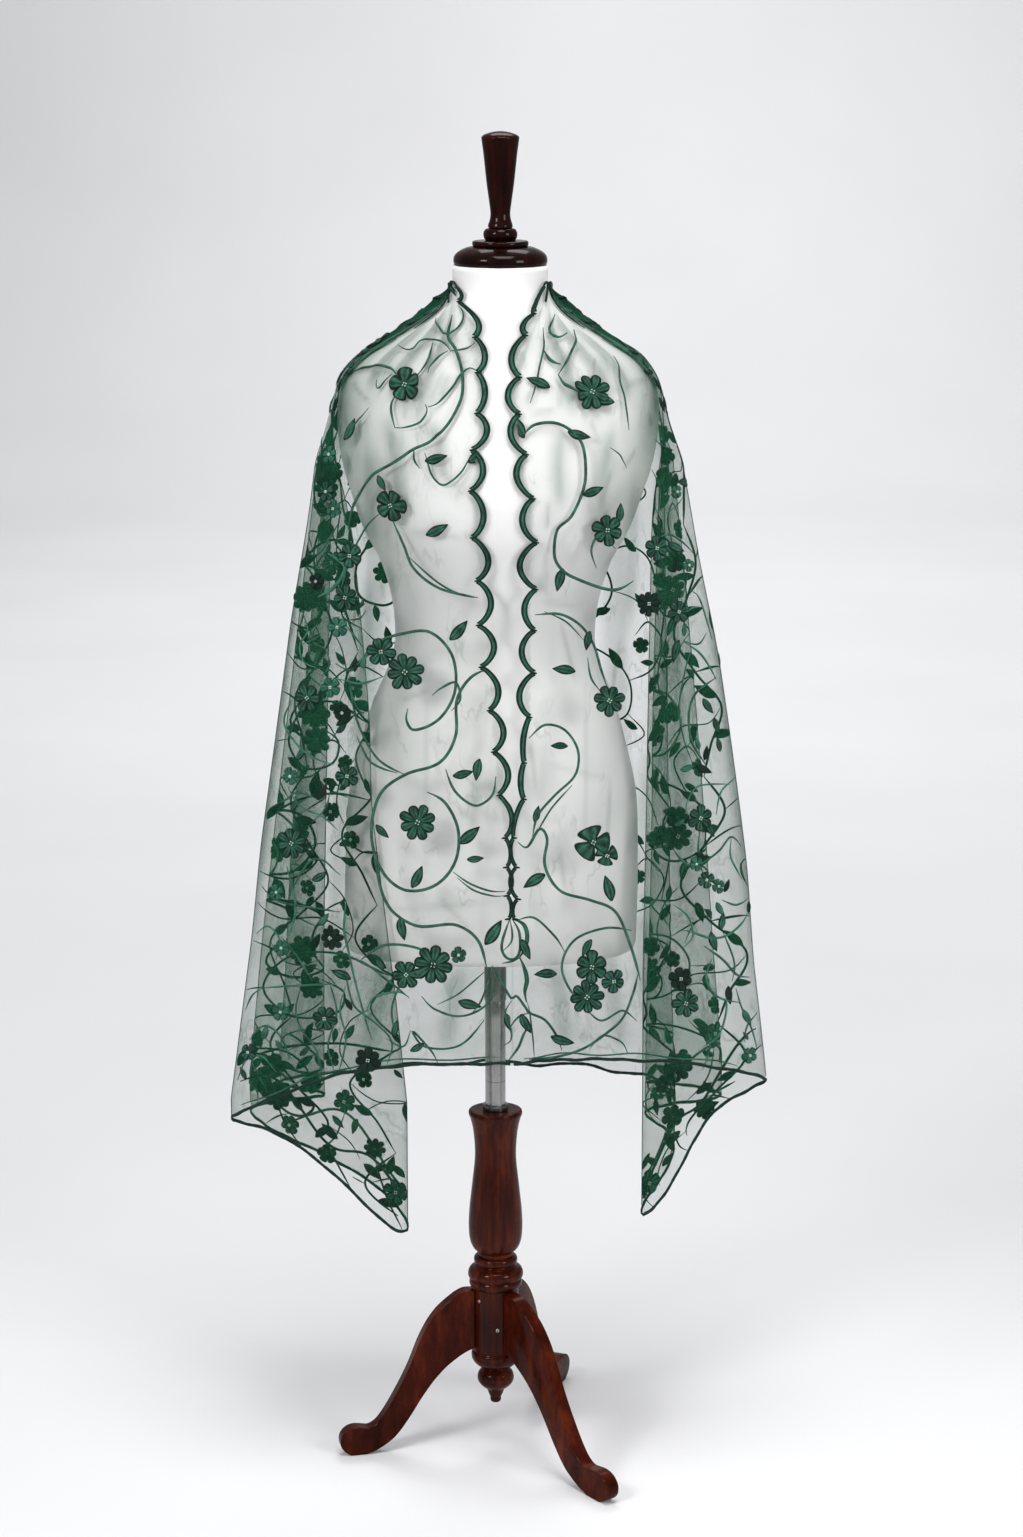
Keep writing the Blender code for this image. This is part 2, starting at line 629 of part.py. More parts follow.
def ribbon(name, side, path, width, material, thickness=CORD_THICKNESS, lift=CORD_LIFT):
    """Cord laid along a path of fold positions and heights on the net's outer face."""
    points = [trim_base(side, place, height, lift) for place, height in path]
    normals = [net_normal(side, place, height) for place, height in path]
    mesh_builder = bmesh.new()
    rings = []
    for k, (point, normal) in enumerate(zip(points, normals)):
        ahead = points[min(k + 1, len(points) - 1)]
        behind = points[max(k - 1, 0)]
        along = (ahead - behind).normalized()
        beside = along.cross(normal).normalized() * (width / 2.0)
        crown = normal * thickness
        corners = (point - beside, point + beside, point + beside * 0.5 + crown,
                   point - beside * 0.5 + crown)
        rings.append([mesh_builder.verts.new(corner) for corner in corners])
    for here, there in zip(rings, rings[1:]):
        for k in range(4):
            n = (k + 1) % 4
            mesh_builder.faces.new((here[k], here[n], there[n], there[k]))
    mesh_builder.faces.new(rings[0])
    mesh_builder.faces.new(list(reversed(rings[-1])))
    add_object(name, mesh_builder, material)


def smooth_path(knots, steps):
    """Points along a Catmull-Rom curve through the knots."""
    path = []
    last = len(knots) - 1
    for at in range(last):
        p0 = knots[max(at - 1, 0)]
        p1 = knots[at]
        p2 = knots[at + 1]
        p3 = knots[min(at + 2, last)]
        for k in range(steps):
            s = k / steps
            path.append(tuple(0.5 * (2.0 * b + (c - a) * s + (2.0 * a - 5.0 * b + 4.0 * c - d) * s * s
                                     + (3.0 * b - a - 3.0 * c + d) * s ** 3)
                              for a, b, c, d in zip(p0, p1, p2, p3)))
    path.append(tuple(knots[-1]))
    return path


def build_borders(materials):
    """Scalloped tape of both front edges and the cord of the front hem."""
    thread = materials["green_thread"]
    for side in ("left", "right"):
        mesh_builder = bmesh.new()
        top = COLLAR_TOP - 0.006
        bottom = hem_height(side, 0.0) + 0.010
        steps = 4
        rings = []
        for k in range(SCALLOPS * steps + 1):
            height = mix(top, bottom, k / (SCALLOPS * steps))
            arch = abs(math.sin(math.pi * k / steps)) ** 0.8
            fade = 1.0 - 0.8 * ease(-height, -0.84, -0.76)
            normal = net_normal(side, 0.05, height)
            centre = trim_base(side, 0.05, height, TAPE_LIFT)
            outward = (net_point(side, 0.0, height) - net_point(side, 0.3, height)).normalized()
            near = centre + outward * (arch * SCALLOP_DEPTH - 0.002) * fade
            far = near - outward * TAPE_WIDTH * (0.4 + 0.6 * fade)
            crown = normal * CORD_THICKNESS
            inset = outward * 0.0015
            corners = (near, far, far + inset + crown, near - inset + crown)
            rings.append([mesh_builder.verts.new(corner) for corner in corners])
        for here, there in zip(rings, rings[1:]):
            for k in range(4):
                n = (k + 1) % 4
                mesh_builder.faces.new((here[k], here[n], there[n], there[k]))
        mesh_builder.faces.new(rings[0])
        mesh_builder.faces.new(list(reversed(rings[-1])))
        add_object("scalloped_border_%s" % side, mesh_builder, thread)
        hem = [(0.15 + 0.25 * k, hem_height(side, 0.15 + 0.25 * k) + 0.003) for k in range(17)]
        ribbon("hem_cord_%s" % side, side, hem, CORD_WIDTH, thread)


def build_embroidery(materials):
    thread = materials["green_thread"]
    for name, side, place, height, share, petals in FLOWERS:
        build_flower("flower_" + name, side, place, height, share, petals, thread)
    for name, side, knots in VINES:
        ribbon("vine_%s_%s" % (name, side), side, smooth_path(knots, 4), CORD_WIDTH, thread)


def centre_on_floor():
    """Shift every piece so that the middle of the whole stands over the origin."""
    corners = [item.matrix_world @ vert.co for item in bpy.data.objects if item.type == "MESH"
               for vert in item.data.vertices]
    middle_x = (min(c.x for c in corners) + max(c.x for c in corners)) / 2.0
    middle_y = (min(c.y for c in corners) + max(c.y for c in corners)) / 2.0
    for item in bpy.data.objects:
        item.location = (-middle_x, -middle_y, 0.0)


def main():
    clear_scene()
    materials = {name: make_material(name) for name in MATERIALS}
    build_form(materials)
    build_neck_cap(materials)
    build_stand(materials)
    build_net(materials)
    build_borders(materials)
    build_embroidery(materials)
    centre_on_floor()


main()
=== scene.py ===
import math

import bpy
import numpy as np
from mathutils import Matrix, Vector


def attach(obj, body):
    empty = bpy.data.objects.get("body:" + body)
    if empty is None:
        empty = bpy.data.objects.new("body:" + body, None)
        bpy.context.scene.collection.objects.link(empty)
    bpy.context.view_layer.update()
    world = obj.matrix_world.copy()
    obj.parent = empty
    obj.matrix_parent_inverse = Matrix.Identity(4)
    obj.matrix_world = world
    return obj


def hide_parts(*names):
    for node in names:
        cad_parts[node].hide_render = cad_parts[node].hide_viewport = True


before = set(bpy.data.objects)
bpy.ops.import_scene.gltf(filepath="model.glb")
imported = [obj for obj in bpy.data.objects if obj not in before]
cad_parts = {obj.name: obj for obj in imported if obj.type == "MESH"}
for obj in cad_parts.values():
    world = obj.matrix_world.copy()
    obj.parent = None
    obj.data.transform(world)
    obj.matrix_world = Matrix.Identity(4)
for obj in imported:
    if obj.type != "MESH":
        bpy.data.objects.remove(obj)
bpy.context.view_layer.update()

mm = 1000.0  # tables in millimetres are divided by this

# How the net hangs: metres, heights from the floor, the same tables as the part's solids
drape = {
    "moved": (-0.00471, -0.01358, 0.0),  # from the pole's axis to the middle of the whole
    "formBottom": 0.6450,
    "formLean": 0.0155,
    "formOffset": -0.0060,
    "squareness": 2.25,
    "clearance": 0.0028,
    "halfWall": 0.0006,
    "collarTop": 1.449,
    "shoulder": 1.300,
    "hem": 0.480,
    "hugTop": 1.345,
    "hugLow": 1.235,
    "backRipple": 0.009,
    "rippleLength": 1.25,
    "rippleFade": (1.6, 3.2),  # fold rows from the centre back
    "edgePull": 2.2,  # fold rows that follow the front edge
    "rows": 19.0,  # fold rows from one centre front to the centre back
    "stepU": 0.02,
    "stepH": 0.004,
    "tableTop": 1.4560,
    "tableLow": 0.2880,
}
formRings = np.array((  # in mm: height, half width, depth in front, depth behind
    (1470, 56.3, 54, 56), (1445, 56.5, 54.5, 57), (1429.2, 62, 58, 60), (1420.5, 71, 59.5, 61.5),
    (1412, 83, 61, 63), (1395, 111, 64, 67), (1380, 138, 67, 71), (1365, 162, 71, 77), (1350, 177, 77, 84),
    (1330, 186.5, 84, 90), (1288, 190, 98, 98), (1240, 184, 113, 100), (1200, 172, 120, 98),
    (1160, 158, 118, 93), (1120, 137, 106, 85), (1067, 122.3, 92, 78), (1012, 121.5, 87, 80),
    (946.7, 146, 95, 98), (890, 162, 101, 112), (839.5, 173.5, 104, 120), (750, 177.5, 105, 119),
    (662, 177.5, 104, 114), (645, 175.5, 102, 112), (560, 160, 85, 95), (250, 60, 40, 40),
)) / mm
frontEdges = np.array((  # in mm: height, x of the left edge, x of the right edge
    (1449, -44, 56), (1425, -40, 54), (1400, -33, 46), (1360, -22.5, 33), (1310, -17.5, 26), (1250, -20, 30),
    (1190, -21.5, 39), (1120, -15, 40), (1050, -9, 42), (970, -4, 41), (900, 2, 37), (830, 11, 29),
    (770, 17, 22.5), (700, 18, 22.5), (537, 18.5, 22.5),
)) / mm
# Folds: percent of the way round the neck, then in mm x and y at the shoulder, x and y at the hem, bow, and
# height of the hem
foldUnits = (100.0, mm, mm, mm, mm, mm, mm)
leftFolds = np.array((
    (0, 18, -100, 18, -150, 0, 537), (12, 75, -102, 80, -158, 0, 540), (26, 133, -93, 165, -150, 0, 532),
    (37, 176, -74, 240, -128, 2, 498), (43, 202, -52, 315, -104, -2, 458), (46, 209, -38, 314, -84, -2, 447),
    (49, 202, -28, 225, -98, 2, 430), (52, 186, -20, 111, -127, 0, 305), (54, 182, -8, 86, -113, 0, 322),
    (56, 188, 2, 150, -93, 0, 385), (58, 200, 10, 262, -42, 0, 417), (61, 206, 18, 298, -4, 2, 430),
    (63, 206, 29, 297, 17, 2, 436), (65, 199, 38, 212, 30, 0, 440), (67, 196, 48, 196, 47, 0, 441),
    (70, 200, 57, 268, 74, 0, 442), (73, 195, 67, 266, 96, 0, 444), (79, 168, 85, 180, 124, 0, 446),
    (89, 90, 104, 85, 148, 0, 448), (100, 0, 108, 0, 152, 0, 449),
)) / foldUnits
rightFolds = np.array((
    (0, 26, -100, 22.5, -150, 0, 537), (12, 82, -102, 85, -158, 0, 546), (26, 137, -93, 165, -150, 0, 542),
    (37, 178, -74, 250, -130, 4, 533), (43, 200, -52, 339, -98, 11, 505), (46, 207, -38, 337, -78, 12, 494),
    (49, 204, -29, 262, -84, 8, 464), (52, 194, -21, 232, -98, 2, 388), (54, 184, -13, 188, -121, 0, 331),
    (56, 182, -3, 175, -106, 0, 340), (58, 188, 6, 218, -83, 0, 385), (61, 198, 14, 230, -55, 0, 420),
    (63, 192, 24, 184, -30, 0, 436), (65, 192, 34, 190, -6, 0, 440), (67, 201, 44, 286, 22, 6, 441),
    (70, 202, 54, 292, 50, 6, 442), (73, 195, 65, 215, 80, 0, 444), (79, 168, 85, 180, 122, 0, 446),
    (89, 90, 104, 85, 148, 0, 448), (100, 0, 108, 0, 152, 0, 449),
)) / foldUnits


def mix(a, b, share):
    return a + (b - a) * share


def ease(value, low, high):
    share = np.clip((value - low) / (high - low), 0.0, 1.0)
    return share * share * (3.0 - 2.0 * share)


def tableAt(rows, height):
    # smooth values of a table whose first column falls
    height = np.asarray(height, float)
    last = len(rows) - 1
    at = np.clip(np.searchsorted(-rows[:, 0], -height, side="left") - 1, 0, last - 1)
    start = rows[at]
    end = rows[at + 1]
    before = rows[np.maximum(at - 1, 0)]
    after = rows[np.minimum(at + 2, last)]
    span = start[..., :1] - end[..., :1]
    s = np.clip((start[..., :1] - height[..., None]) / span, 0.0, 1.0)
    slopeIn = (end - before)[..., 1:] / (before - end)[..., :1] * span
    slopeOut = (after - start)[..., 1:] / (start - after)[..., :1] * span
    return ((2.0 * s ** 3 - 3.0 * s ** 2 + 1.0) * start[..., 1:] + (s ** 3 - 2.0 * s ** 2 + s) * slopeIn
            + (3.0 * s ** 2 - 2.0 * s ** 3) * end[..., 1:] + (s ** 3 - s ** 2) * slopeOut)


def formLean(height):
    return drape["formOffset"] + drape["formLean"] * np.maximum(height - drape["formBottom"], 0.0)


def formPoint(angle, height):
    # skin of the form, angle 0 in front and a half turn behind
    half, front, back = np.moveaxis(tableAt(formRings, height), -1, 0)
    power = 2.0 / drape["squareness"]
    sine = np.sin(angle)
    cosine = np.cos(angle)
    x = np.sign(sine) * np.abs(sine) ** power * half
    y = -np.sign(cosine) * np.abs(cosine) ** power * np.where(cosine > 0.0, front, back)
    return np.stack(np.broadcast_arrays(x + formLean(height), y, height), -1)


def formNormal(angle, height):
    across = formPoint(angle + 0.02, height) - formPoint(angle - 0.02, height)
    down = formPoint(angle, height - 0.002) - formPoint(angle, height + 0.002)
    return unit(np.cross(down, across))


def unit(vectors):
    return vectors / np.maximum(np.linalg.norm(vectors, axis=-1, keepdims=True), 1e-9)


def runAlong(points):
    # the way from the first point to each point of a row
    return np.concatenate(((0.0,), np.cumsum(np.linalg.norm(np.diff(points, axis=0), axis=1))))


def pushOffForm(x, y, height):
    half, front, back = np.moveaxis(tableAt(formRings, height), -1, 0)
    depth = np.where(y < 0.0, front, back)
    power = drape["squareness"]
    size = ((np.abs(x) / half) ** power + (np.abs(y) / depth) ** power) ** (1.0 / power)
    size = np.maximum(size, 0.05)
    limit = 1.0 + drape["clearance"] / np.minimum(depth, half)
    softness = 0.045
    room = (size - limit) / softness
    eased = np.where(room > 30.0, size, limit + softness * np.log1p(np.exp(np.minimum(room, 30.0))))
    return x * eased / size, y * eased / size


def halfOfNet(sign, position, height):
    folds = leftFolds if sign < 0.0 else rightFolds
    rows = np.vstack((2.0 * folds[0] - folds[1], folds, 2.0 * folds[-1] - folds[-2]))
    at = np.minimum(position.astype(int), len(folds) - 2)
    s = (position - at)[..., None]
    values = ((1.0 - s) ** 3 * rows[at] + (4.0 - 6.0 * s ** 2 + 3.0 * s ** 3) * rows[at + 1]
              + (1.0 + 3.0 * s + 3.0 * s ** 2 - 3.0 * s ** 3) * rows[at + 2] + s ** 3 * rows[at + 3]) / 6.0
    share, xTop, yTop, xHem, yHem, bow, hem = np.moveaxis(values, -1, 0)
    lean = formLean(height)
    edge = (tableAt(frontEdges, height)[..., 0 if sign < 0.0 else 1] - lean) * sign
    fall = np.minimum((drape["shoulder"] - height) / (drape["shoulder"] - drape["hem"]), 1.0)
    fromBack = drape["rows"] - position
    wave = np.cos(math.tau * fromBack / drape["rippleLength"]) * (1.0 - ease(fromBack, *drape["rippleFade"]))
    hangX = mix(xTop, xHem, fall) + 4.0 * bow * np.maximum(fall, 0.0) * (1.0 - fall)
    hangY = mix(yTop, yHem, fall) + drape["backRipple"] * np.maximum(fall, 0.0) ** 1.5 * wave
    pull = (1.0 - ease(position, 0.0, drape["edgePull"])) * (edge - mix(folds[0][1], folds[0][3], fall))
    hangX, hangY = pushOffForm(sign * (hangX + pull), hangY, height)
    half = tableAt(formRings, height)[..., 0]
    edgeAngle = np.copysign(np.arcsin(np.minimum(np.abs(edge) / half, 1.0) ** (drape["squareness"] / 2.0)),
                            edge)
    angle = sign * mix(edgeAngle, math.pi, share)
    hug = formPoint(angle, height) + formNormal(angle, height) * drape["clearance"]
    loose = 1.0 - ease(height, drape["hugLow"], drape["hugTop"])
    return np.stack(np.broadcast_arrays(mix(hug[..., 0], hangX + lean, loose),
                                        mix(hug[..., 1], hangY, loose), height), -1), hem


# The whole net as one table of points: u runs from the left front edge (0) round the back (19)
# to the right front edge (38), h is the height
fullU = 2.0 * drape["rows"]
gridU = np.arange(0.0, fullU + 0.001, drape["stepU"])
gridH = np.arange(drape["tableLow"], drape["tableTop"], drape["stepH"])
middleRow = len(gridU) // 2
leftHalf, leftHem = halfOfNet(-1.0, gridU[:middleRow + 1, None], gridH[None, :])
rightHalf, rightHem = halfOfNet(1.0, gridU[:middleRow, None], gridH[None, :])
netPoints = np.concatenate((leftHalf, rightHalf[::-1]))
hemRow = np.concatenate((leftHem[:, 0], rightHem[::-1, 0]))
speedU = np.linalg.norm(np.gradient(netPoints, drape["stepU"], axis=0), axis=-1)


def tableNormals(points):
    across = np.gradient(points, drape["stepU"], axis=0)
    up = np.gradient(points, drape["stepH"], axis=1)
    return unit(np.cross(up, across))


def hemAt(u):
    return np.interp(u, gridU, hemRow)


# Soft creases listed one by one: u in hundredths and height in mm of both ends, half width and rise in mm
creases = (
    (55, 1425, 105, 1300, 6, 4.5), (110, 1420, 150, 1335, 7, 5), (185, 1405, 205, 1330, 7, 4),
    (90, 1300, 55, 1235, 8, 3.5), (175, 1300, 155, 1190, 9, 4), (230, 1270, 210, 1150, 10, 4.5),
    (20, 1166, 135, 1172, 4, 2.2), (210, 1120, 220, 930, 10, 5), (110, 985, 120, 760, 4, 1.6),
    (30, 735, 210, 722, 4, 1.8), (245, 900, 235, 600, 11, 6), (75, 660, 95, 560, 12, 5),
    (160, 690, 185, 550, 12, 5), (35, 900, 55, 820, 7, 3), (3745, 1420, 3705, 1310, 6, 4.5),
    (3695, 1415, 3645, 1330, 7, 5), (3625, 1400, 3595, 1320, 7, 4), (3720, 1290, 3740, 1200, 8, 3.5),
    (3620, 1290, 3645, 1180, 9, 4), (3560, 1230, 3580, 1060, 10, 4.5), (3780, 1090, 3690, 1083, 4, 2),
    (3675, 980, 3665, 780, 4, 1.6), (3760, 900, 3620, 880, 4, 1.6), (3560, 900, 3575, 600, 11, 6),
    (3720, 670, 3700, 560, 12, 5), (3630, 690, 3610, 560, 12, 5), (460, 1150, 440, 700, 10, 5),
    (3320, 1100, 3330, 680, 10, 5), (1740, 1330, 1710, 700, 16, 6), (2060, 1330, 2090, 700, 16, 6),
    (1900, 1300, 1900, 620, 18, 7), (1580, 1250, 1560, 640, 14, 6), (2220, 1250, 2240, 640, 14, 6),
)
smallCreases = (  # these are all as wide and as high as smallCrease
    (56, 1353, 82, 1316), (45, 1350, 63, 1323), (122, 1317, 135, 1299), (274, 1338, 201, 1315),
    (350, 1308, 301, 1264), (162, 1283, 173, 1260), (78, 1285, 64, 1272), (32, 1371, 11, 1358),
    (-37, 1414, -42, 1402), (100, 1349, 86, 1331), (236, 1298, 250, 1276), (49, 1399, 29, 1384),
    (165, 1242, 151, 1208), (68, 1243, 24, 1221), (195, 1137, 184, 1090), (8, 1243, 33, 1209),
    (152, 974, 105, 986), (54, 857, 1, 862), (102, 738, 63, 702), (20, 880, 0, 849), (3781, 1334, 3783, 1317),
    (3735, 1348, 3729, 1312), (3720, 1321, 3696, 1327), (3776, 1307, 3737, 1310), (3716, 1359, 3693, 1371),
    (3628, 1370, 3634, 1349), (3516, 1302, 3501, 1286), (3552, 1263, 3588, 1241), (3602, 1335, 3495, 1341),
    (3671, 1298, 3643, 1270), (3765, 1209, 3773, 1174), (3644, 1208, 3612, 1241), (3735, 1068, 3699, 998),
    (3796, 927, 3774, 868), (3713, 797, 3699, 750), (3622, 879, 3629, 784), (3599, 1043, 3621, 973),
)
smallCrease = (3.5, 2.6)
shoulderGathers = {"period": 0.92, "first": 3.1, "last": 15.0,
                   "levels": (1.300, 1.345, 1.375, 1.400, 1.425, 1.440, 1.449),
                   "lifts": (0.0, 0.0010, 0.0016, 0.0058, 0.0112, 0.0050, 0.0)}


def levelRow(height):
    return int((height - gridH[0]) / drape["stepH"])


def inUnits(rows, *units):
    return [[value / unit for value, unit in zip(row, units)] for row in rows]


allCreases = inUnits(creases + tuple(row + smallCrease for row in smallCreases), 100.0, mm, 100.0, mm, mm, mm)


def standOut(u, h):
    # how far creases and gathers lift the net off its smooth hang
    total = np.zeros(np.broadcast(u, h).shape)
    for u1, h1, u2, h2, width, depth in allCreases:
        speed = speedU[int(0.5 * (u1 + u2) / drape["stepU"]), levelRow(0.5 * (h1 + h2))]
        along = np.array(((u2 - u1) * speed, h2 - h1))
        length = np.hypot(*along)
        dx = (u - u1) * speed
        dy = h - h1
        s = (dx * along[0] + dy * along[1]) / length ** 2
        off = (dx * along[1] - dy * along[0]) / length
        ends = ease(s, -0.12, 0.25) * (1.0 - ease(s, 0.75, 1.12))
        total = total + depth * ends * np.exp(-(off / width) ** 2)
    fold = shoulderGathers
    position = np.minimum(u, fullU - u)
    zone = ease(position, fold["first"], fold["first"] + 1.2)
    zone = zone * (1.0 - ease(position, fold["last"] - 1.6, fold["last"]))
    wave = 0.5 - 0.5 * np.cos(math.tau * (position - fold["first"]) / fold["period"])
    return total + np.interp(h, fold["levels"], fold["lifts"]) * zone * wave


lift = standOut(gridU[:, None], gridH[None, :])
netPoints = netPoints + tableNormals(netPoints) * (drape["halfWall"] + lift)[..., None]
netPoints += np.array(drape["moved"])
netNormals = tableNormals(netPoints)
speedU = np.linalg.norm(np.gradient(netPoints, drape["stepU"], axis=0), axis=-1)
runU = np.concatenate((np.zeros((1, len(gridH))),
                       np.cumsum(np.linalg.norm(np.diff(netPoints, axis=0), axis=-1), axis=0)))
print("net table ready", netPoints.shape)


def fromTable(table, u, h):
    x = np.clip(np.asarray(u, float) / drape["stepU"], 0.0, len(gridU) - 1.001)
    y = np.clip((np.asarray(h, float) - gridH[0]) / drape["stepH"], 0.0, len(gridH) - 1.001)
    i = x.astype(int)
    j = y.astype(int)
    fx = x - i
    fy = y - j
    if table.ndim == 3:
        fx = fx[..., None]
        fy = fy[..., None]
    return (table[i, j] * (1.0 - fx) * (1.0 - fy) + table[i + 1, j] * fx * (1.0 - fy)
            + table[i, j + 1] * (1.0 - fx) * fy + table[i + 1, j + 1] * fx * fy)


def onNet(u, h, offset=0.0):
    # point on the net, moved out along its normal; past the front edges the net goes on straight
    u = np.asarray(u, float)
    h = np.asarray(h, float)
    normal = unit(fromTable(netNormals, u, h))
    point = fromTable(netPoints, u, h)
    inside = np.clip(u, 0.05, fullU - 0.05)
    slope = (fromTable(netPoints, inside + 0.05, h) - fromTable(netPoints, inside - 0.05, h)) / 0.1
    point = point + slope * (u - np.clip(u, 0.0, fullU))[..., None]
    return point + normal * np.asarray(offset, float)[..., None], normal


def nearby(u0, h0, a, b):
    # u and height of the point a metres to the right, seen from outside, and b metres up from u0, h0
    step = 0.05
    uIn = min(max(u0, step), fullU - step)
    (low, high), _ = onNet(np.array((uIn - step, uIn + step)), np.array((h0, h0)))
    tall = 0.004
    (under, over), _ = onNet(np.array((uIn, uIn)), np.array((h0 - tall, h0 + tall)))
    across = unit(high - low)
    up = (over - under) / (2.0 * tall)
    slip = float(np.dot(up, across))
    rise = math.sqrt(max(float(np.dot(up, up)) - slip ** 2, 0.25))
    h = h0 + b / rise
    wanted = -a - slip * (h - h0)
    start = fromTable(runU, u0, h)
    u = np.full_like(h, u0)
    for _ in range(6):
        u = u - (fromTable(runU, u, h) - start - wanted) / np.maximum(fromTable(speedU, u, h), 0.004) * 0.9
        u = np.clip(u, 0.0, fullU)
    return u, h


def ringOf(sides):
    return np.arange(sides) / sides * math.tau


def fromFront(u):
    # fold rows from the nearer front edge
    return np.minimum(u, fullU - u)


class Pile:
    # gathers strips and patches, then makes one mesh of them
    def __init__(self):
        self.points = []
        self.faces = []
        self.uvs = []
        self.slots = []
        self.outlineAndShadeValues = []
        self.count = 0

    def add(self, points, faces, uvs, slot=0, outlineAndShade=None):
        self.points.append(points)
        self.outlineAndShadeValues.append(np.zeros(len(points)) if outlineAndShade is None else outlineAndShade)
        self.uvs.append(uvs)
        self.faces.extend(tuple(self.count + v for v in face) for face in faces)
        self.slots.extend([slot] * len(faces))
        self.count += len(points)

    def addRings(self, rings, uvs, slot=0, outlineAndShade=None):
        # a closed body from rings of points, with its faces turned outwards; the darkening values are 1 at a
        # stitched dark outline, and on round cords they hold painted shade on the low flanks
        count, size, _ = rings.shape
        points = rings.reshape(-1, 3)
        faces = ringFaces(count, size)
        corners = points[np.array(faces[:-2])] - points.mean(axis=0)
        volume = np.einsum("ij,ij->", np.cross(corners[:, 0], corners[:, 1]), corners[:, 2])
        volume += np.einsum("ij,ij->", np.cross(corners[:, 0], corners[:, 2]), corners[:, 3])
        if volume < 0.0:
            faces = [face[::-1] for face in faces]
        self.add(points, faces, uvs.reshape(-1, 2), slot, outlineAndShade)

    def build(self, name, materials):
        mesh = bpy.data.meshes.new(name)
        mesh.from_pydata(np.concatenate(self.points).tolist(), [], self.faces)
        layer = mesh.uv_layers.new(name="metres")
        corner = np.zeros(len(mesh.loops), int)
        mesh.loops.foreach_get("vertex_index", corner)
        layer.data.foreach_set("uv", np.concatenate(self.uvs)[corner].ravel())
        for material in materials:
            mesh.materials.append(material)
        mesh.polygons.foreach_set("material_index", np.array(self.slots))
        mesh.attributes.new("outlineAndShade", "FLOAT", "POINT").data.foreach_set("value", np.concatenate(self.outlineAndShadeValues))
        mesh.shade_smooth()
        item = bpy.data.objects.new(name, mesh)
        bpy.context.collection.objects.link(item)
        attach(item, "root")
        return item


def ringFaces(rings, size):
    faces = [(r * size + k, r * size + (k + 1) % size, (r + 1) * size + (k + 1) % size, (r + 1) * size + k)
             for r in range(rings - 1) for k in range(size)]
    return faces + [tuple(reversed(range(size))), tuple((rings - 1) * size + k for k in range(size))]


roundSection = np.array(((-1.0, 0.0), (1.0, 0.0), (0.78, 0.62), (0.0, 1.0), (-0.78, 0.62)))
leafSection = np.array(((-1.0, 0.0), (1.0, 0.0), (0.86, 0.62), (0.45, 1.0), (0.0, 0.62), (-0.45, 1.0),
                        (-0.86, 0.62)))
ropeSection = np.array([(math.cos(math.tau * k / 8), math.sin(math.tau * k / 8)) for k in range(8)])


def smoothPath(knots, steps=10):
    knots = np.array(knots, float)
    padded = np.vstack((knots[0], knots, knots[-1]))
    s = (np.arange(steps) / steps)[:, None]
    parts = []
    for p0, p1, p2, p3 in zip(padded, padded[1:], padded[2:], padded[3:]):
        parts.append(0.5 * (2.0 * p1 + (p2 - p0) * s + (2.0 * p0 - 5.0 * p1 + 4.0 * p2 - p3) * s ** 2
                            + (3.0 * p1 - p0 - 3.0 * p2 + p3) * s ** 3))
    return np.vstack(parts + [knots[-1:]])


def evenPath(path, spacing):
    # the same path with points an even way apart on the net
    points, _ = onNet(path[:, 0], path[:, 1])
    run = runAlong(points)
    steps = max(int(round(run[-1] / spacing)), 2)
    at = np.linspace(0.0, run[-1], steps + 1)
    return np.stack((np.interp(at, run, path[:, 0]), np.interp(at, run, path[:, 1])), 1), at


# cords: how far the ends taper, how deep the painted shade on a round cord's low flanks is, and its swelling
cordShape = {"taper": 0.022, "mostTaper": 0.45, "outlineAndShadeDepth": 0.55, "waves": (410.0, 173.0)}


def cordOnNet(pile, path, width, rise=0.0016, taper=(0.35, 0.35), spacing=0.0035, section=roundSection,
              base=0.0002, slot=0, swell=0.0):
    path, run = evenPath(np.asarray(path, float), spacing)
    if run[-1] < 2.0 * spacing:
        return
    points, normals = onNet(path[:, 0], path[:, 1], np.full(len(path), base))
    beside = unit(np.cross(np.gradient(points, axis=0), normals))
    share = run / run[-1]
    reach = min(cordShape["taper"] / run[-1], cordShape["mostTaper"])
    size = mix(taper[0], 1.0, ease(share, 0.0, reach)) * mix(taper[1], 1.0, ease(1.0 - share, 0.0, reach))
    fast, slow = cordShape["waves"]
    size = size * (1.0 + swell * np.sin(run * fast) * np.sin(run * slow + 1.0))
    half = (0.5 * width * size)[:, None, None]
    tall = (rise * np.sqrt(size))[:, None, None]
    rings = (points[:, None] + beside[:, None] * half * section[None, :, :1]
             + normals[:, None] * tall * section[None, :, 1:])
    uvs = np.stack(np.broadcast_arrays(run[:, None], section[None, :, 0] * width * 0.5), -1)
    # painted shade: a round cord is darkened along its low flanks, where it meets the net
    shade = cordShape["outlineAndShadeDepth"] if section is roundSection else 0.0
    pile.addRings(rings, uvs, slot, np.tile(shade * (1.0 - section[:, 1]), len(path)))


